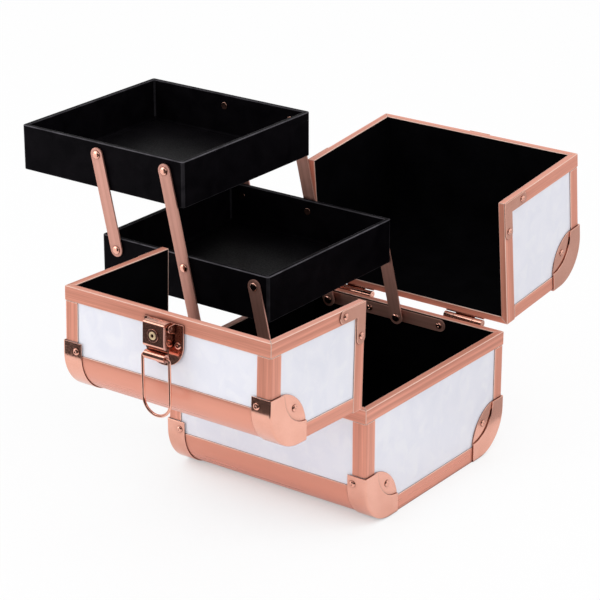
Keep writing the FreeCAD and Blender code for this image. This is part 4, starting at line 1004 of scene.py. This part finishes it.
@dataclass
class Tray:
    """Covered board tray, wrapped in one skin of leatherette."""

    node: str
    corner: float = 2.2 * MM
    crown: float = 0.75 * MM
    foot: float = 0.9 * MM
    fillet: float = 2.4 * MM
    inner_corner: float = 1.4 * MM
    pad_gap: float = 1.0 * MM
    pad_drop: float = 0.7 * MM
    groove_share: float = 0.5
    pad_round: float = 2.0
    pad_swell: float = 0.3
    steps: int = 5
    corner_steps: int = 6
    # Painted highlight shares: on bands that turn the outer corners, and on the foot and crown roundings.
    corner_highlight: float = 0.22
    painted_highlight: dict[str, float] = field(
        default_factory=lambda: {"foot": 0.25, "outer_crown": 1.0, "inner_crown": 0.6}
    )

    def stations(self, low: float, high: float, wall: float, floor: float) -> list[tuple[float, float, str]]:
        """List the loops of the skin from the underside, over the rim, to the floor pad.

        Args:
            low: level of the underside.
            high: level of the rim.
            wall: thickness of the walls.
            floor: thickness of the floor.

        Returns:
            Inset from the outer faces, level, and the edge that the loop belongs to.
        """
        loops: list[tuple[float, float, str]] = []

        def turn(inset: float, level: float, radius: float, start: float, end: float, edge: str) -> None:
            """Add a rounding about a centre, between two angles in degrees."""
            for step in range(self.steps + 1):
                angle = math.radians(start + (end - start) * step / self.steps)
                loops.append((inset + radius * math.cos(angle), level + radius * math.sin(angle), edge))

        turn(self.foot, low + self.foot, self.foot, 270.0, 180.0, "foot")
        turn(self.crown, high - self.crown, self.crown, 180.0, 90.0, "outer_crown")
        turn(wall - self.crown, high - self.crown, self.crown, 90.0, 0.0, "inner_crown")
        deck = low + floor
        turn(wall + self.fillet, deck + self.fillet, self.fillet, 180.0, 270.0, "fillet")
        pad = wall + self.fillet
        loops.append((pad + self.groove_share * self.pad_gap, deck - self.pad_drop, PAD))
        loops.append((pad + self.pad_gap, deck, PAD))
        loops.append((pad + self.pad_round * self.pad_gap, deck + self.pad_swell * self.pad_drop, PAD))
        return loops

    def highlight_share(self, first: str, second: str, at_corner: bool) -> float:
        """Say how strongly a band of the skin gets the painted highlight.

        Args:
            first: edge that the band's lower loop belongs to.
            second: edge that its upper loop belongs to.
            at_corner: whether the face turns a corner of the tray.

        Returns:
            A share from 0 to 1.
        """
        if first == second:
            return self.painted_highlight.get(first, 0.0)
        return self.corner_highlight if at_corner and PAD not in (first, second) else 0.0

    def build(self, finishes: Finishes) -> Piece:
        """Make the wrapped tray in place of its boards.

        Args:
            finishes: materials by slot.

        Returns:
            The tray.
        """
        boxes = []
        for solid in solids_of(self.node):
            points = np.array([vertex.co for vertex in solid.verts])
            boxes.append(np.ptp(points, axis=0))
            solid.free()
        floor = float(min(extent[2] for extent in boxes))
        wall = float(min(min(extent[0], extent[1]) for extent in boxes))
        low, high = (Vector(corner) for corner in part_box(self.node))
        middle = (low + high) / 2
        half_x, half_y = (high.x - low.x) / 2, (high.y - low.y) / 2
        shell = bmesh.new()
        mark = shell.faces.layers.float.new(EDGE)
        pad = shell.faces.layers.float.new(PAD)
        rings = []
        stations = self.stations(low.z, high.z, wall, floor)
        for inset, level, _ in stations:
            radius = max(self.corner - inset, self.inner_corner)
            ring = []
            for turn, (sign_x, sign_y) in enumerate(((1, 1), (-1, 1), (-1, -1), (1, -1))):
                for step in range(self.corner_steps + 1):
                    angle = math.radians(QUARTER * (turn + step / self.corner_steps))
                    x = middle.x + sign_x * (half_x - inset - radius) + radius * math.cos(angle)
                    y = middle.y + sign_y * (half_y - inset - radius) + radius * math.sin(angle)
                    ring.append(shell.verts.new((x, y, level)))
            rings.append(ring)
        for number in range(len(rings) - 1):
            lower, upper = rings[number], rings[number + 1]
            for here in range(len(lower)):
                there = (here + 1) % len(lower)
                face = shell.faces.new((lower[here], lower[there], upper[there], upper[here]))
                at_corner = here % (self.corner_steps + 1) < self.corner_steps
                # Painted highlight share of this band, read by the leatherette through the edge attribute.
                face[mark] = self.highlight_share(stations[number][2], stations[number + 1][2], at_corner)
                face[pad] = 1.0 if stations[number][2] == PAD else 0.0
        shell.faces.new(rings[0])
        shell.faces.new(rings[-1])[pad] = 1.0
        bmesh.ops.recalc_face_normals(shell, faces=shell.faces[:])
        mesh = bpy.data.meshes.new(self.node + "_wrapped")
        shell.to_mesh(mesh)
        shell.free()
        mesh.shade_smooth()
        mesh.set_sharp_from_angle(angle=SMOOTH_ANGLE)
        piece = settle(mesh, BODY_OF[self.node], finishes.of[Slot.LEATHERETTE])
        even_normals(piece)
        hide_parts(self.node)
        return piece


@dataclass
class TrayLift:
    """Cantilever arms, their pivots and the two trays."""

    arm_edge: float = 0.35 * MM
    pivot_edge: float = 0.2 * MM

    def build(self, finishes: Finishes) -> None:
        """Make the arms, pivots and trays."""
        Metalwork(
            strips={name + "_arms": self.arm_edge for name in ("long", "lower", "upper")},
            polished={name + "_tray_pivots": self.pivot_edge for name in ("lower", "upper")},
        ).build(finishes)
        for node in ("lower_tray", "upper_tray"):
            Tray(node).build(finishes)


def sheet(name: str, corners: list[Triple], material: Material) -> Piece:
    """Make a flat sheet for the studio.

    Args:
        name: name of the sheet.
        corners: its four corners in order.
        material: its finish.

    Returns:
        The new object.
    """
    mesh = bpy.data.meshes.new(name)
    mesh.from_pydata(corners, [], [tuple(range(len(corners)))])
    mesh.materials.append(material)
    return show(name, mesh)


@dataclass
class Studio:
    """Pale floor, soft lamps and the camera at the photograph's angle."""

    azimuth: float = 36.257
    elevation: float = 21.575
    target: Triple = (-0.0291, -0.0134, 0.14006)
    distance: float = 1.9815
    lens: float = 142.66
    sensor: float = 36.0
    far: float = 50.0
    ambient: float = 0.84
    sky: Colour = (0.98, 0.985, 1.0)
    white: Colour = (1.0, 1.0, 1.0)
    overhead: Pair = (0.40, 0.90)
    overhead_tone: float = 0.35
    floor_half: float = 4.0
    floor_white: float = 0.92
    floor_mirrored: float = 0.35
    # Reach of the occlusion that paints shade into the floor's glow, and its mapping.
    floor_shade: float = 0.30
    floor_taken: Pair = (0.05, 0.45)
    floor_given: Pair = (0.3, 1.0)
    floor_cloud: Triple = (3.0, 3.0, 3.0)
    floor_deep: Colour = (0.94, 0.935, 0.94)
    floor_pale: Colour = (0.97, 0.965, 0.97)
    floor_gloss: float = 0.7
    # Dark sheets seen only in reflections: they paint dark reflections into the metal on the front and the
    # right.
    cards: tuple[tuple[str, Triple, Triple], ...] = (
        ("front_card", (-0.345, -0.46, 0.004), (0.45, -0.46, 0.34)),
        ("side_card", (0.62, -0.80, 0.004), (0.62, -0.02, 0.55)),
    )
    card_tone: Colour = (0.035, 0.03, 0.03)
    card_paler: float = 1.3
    card_cloud: Triple = (9.0, 9.0, 9.0)
    card_detail: float = 1.0
    card_gloss: float = 0.9
    # Grey sheet on the floor behind the case on the right, seen only in reflections: it paints dimmer
    # reflections.
    grey_low: Triple = (0.13, 0.12, 0.002)
    grey_high: Triple = (0.70, 0.85, 0.002)
    grey_tone: Colour = (0.47, 0.46, 0.46)
    lamps: tuple[tuple[str, Triple, float, float], ...] = (
        ("key_lamp", (-1.1, -1.3, 1.9), 1.3, 6.0),
        ("front_lamp", (-1.2, -1.5, 0.28), 1.0, 6.2),
        ("side_lamp", (1.7, -0.5, 1.0), 1.0, 2.2),
        ("top_lamp", (0.1, 0.3, 2.2), 1.4, 6.0),
    )

    def camera(self) -> None:
        """Stand the camera where the photograph was taken from."""
        turn, tilt = math.radians(self.azimuth), math.radians(self.elevation)
        back = Vector((math.sin(turn) * math.cos(tilt), -math.cos(turn) * math.cos(tilt), math.sin(tilt)))
        data = bpy.data.cameras.new("camera")
        data.lens = self.lens
        data.sensor_width = self.sensor
        data.clip_end = self.far
        camera = show("camera", data)
        camera.location = Vector(self.target) + back * self.distance
        camera.rotation_euler = back.to_track_quat("Z", "Y").to_euler()
        bpy.context.scene.camera = camera

    def seen(self, graph: Graph) -> Socket:
        """Give 1 for rays that show the background: camera, glossy and transmission rays."""
        path = graph.add("ShaderNodeLightPath").outputs
        value = path["Is Camera Ray"]
        for name in ("Is Glossy Ray", "Is Transmission Ray"):
            value = graph.math("MAXIMUM", value, path[name])
        return value

    def surround(self) -> None:
        """Light the case evenly from all round, with white in view and a dimmer top in reflections."""
        world = bpy.data.worlds.new("studio")
        bpy.context.scene.world = world
        world.use_nodes = True
        graph = Graph(world.node_tree)
        soft = world.node_tree.nodes["Background"]
        soft.inputs["Color"].default_value = self.sky + OPAQUE
        soft.inputs["Strength"].default_value = self.ambient
        toward = graph.add("ShaderNodeTexCoord").outputs["Generated"]
        height = graph.add("ShaderNodeSeparateXYZ", {0: toward}).outputs["Z"]
        fade = graph.span(height, self.overhead, (0.0, 1.0 - self.overhead_tone))
        mirrored = graph.add("ShaderNodeLightPath").outputs["Is Glossy Ray"]
        level = graph.math("SUBTRACT", 1.0, graph.math("MULTIPLY", mirrored, fade))
        white = graph.add("ShaderNodeBackground", {"Color": self.white + OPAQUE, "Strength": level})
        mix = graph.blend(self.seen(graph), soft.outputs[0], white.outputs[0])
        graph.feed(world.node_tree.nodes["World Output"].inputs["Surface"], mix)

    def floor(self) -> None:
        """Lay white paper that glows white to the camera and in reflections, with painted shade: near the
        case, occlusion lowers the glow so that the paper's real shadow shows faintly.
        """
        wire = Wiring("white_paper")
        shade = wire.noise(wire.place(self.floor_cloud))
        wire.drive("Base Color", wire.tint(shade, self.floor_deep, self.floor_pale))
        wire.drive("Roughness", self.floor_gloss)
        straight = wire.add("ShaderNodeLightPath").outputs["Is Camera Ray"]
        level = wire.span(straight, UNIT, (self.floor_mirrored, self.floor_white))
        # Painted shade: occlusion near the case lowers the paper's white glow, letting its real diffuse
        # shadow show.
        glow_shade_factor = wire.span(wire.open_air(self.floor_shade), self.floor_taken, self.floor_given)
        share = wire.math("MULTIPLY", wire.math("MULTIPLY", self.seen(wire), level), glow_shade_factor)
        glow = wire.add("ShaderNodeEmission")
        mix = wire.blend(share, wire.shader.outputs[0], glow.outputs[0])
        wire.feed(wire.tree.nodes["Material Output"].inputs["Surface"], mix)
        reach = self.floor_half
        corners = [(-reach, -reach, 0.0), (reach, -reach, 0.0), (reach, reach, 0.0), (-reach, reach, 0.0)]
        paper = sheet("paper_floor", corners, wire.material)

    def card(self, name: str, corners: list[Triple], tone: Colour) -> None:
        """Set up one card that only reflections show: a sheet that paints a dark reflection into the metal.

        Args:
            name: name of the card.
            corners: its four corners in order.
            tone: its darkest colour.
        """
        wire = Wiring(name)
        shade = wire.noise(wire.place(self.card_cloud), self.card_detail)
        paler = tuple(self.card_paler * part for part in tone)
        wire.drive("Base Color", wire.tint(shade, tone, paler))
        wire.drive("Roughness", self.card_gloss)
        card = sheet(name, corners, wire.material)
        card.visible_camera = False
        card.visible_diffuse = False
        card.visible_transmission = False
        card.visible_shadow = False

    def all_cards(self) -> None:
        """Stand the dark cards beside the case and lay a grey one behind it on the right, all seen only in
        reflections, where they paint dark and dimmer reflections into the metal.
        """
        for name, (left, front, low), (right, back, high) in self.cards:
            corners = [(left, front, low), (right, back, low), (right, back, high), (left, front, high)]
            self.card(name, corners, self.card_tone)
        (left, front, level), (right, back, _) = self.grey_low, self.grey_high
        corners = [(left, front, level), (right, front, level), (right, back, level), (left, back, level)]
        self.card("grey_card", corners, self.grey_tone)

    def lights(self) -> None:
        """Hang the soft lamps, all facing the case."""
        for name, place, across, power in self.lamps:
            data = bpy.data.lights.new(name, "AREA")
            data.size = across
            data.energy = power
            lamp = show(name, data)
            lamp.location = place
            lamp.rotation_euler = (Vector(place) - Vector(self.target)).to_track_quat("Z", "Y").to_euler()

    def build(self) -> None:
        """Set up the whole studio."""
        bpy.context.scene.view_settings.view_transform = "Standard"
        self.camera()
        self.surround()
        self.floor()
        self.all_cards()
        self.lights()


def main() -> None:
    """Set up the studio, then build every sub-assembly in order."""
    logging.basicConfig(level=logging.INFO)
    Studio().build()
    finishes = Finishes()
    base = BaseBox()
    base.build(finishes)
    base.dress(finishes)
    for side in ("front", "rear"):
        lid = HalfLid(side)
        lid.build(finishes)
        lid.dress(finishes)
    ClaspAndHandle().build(finishes)
    TrayLift().build(finishes)


if __name__ == "__main__":
    main()
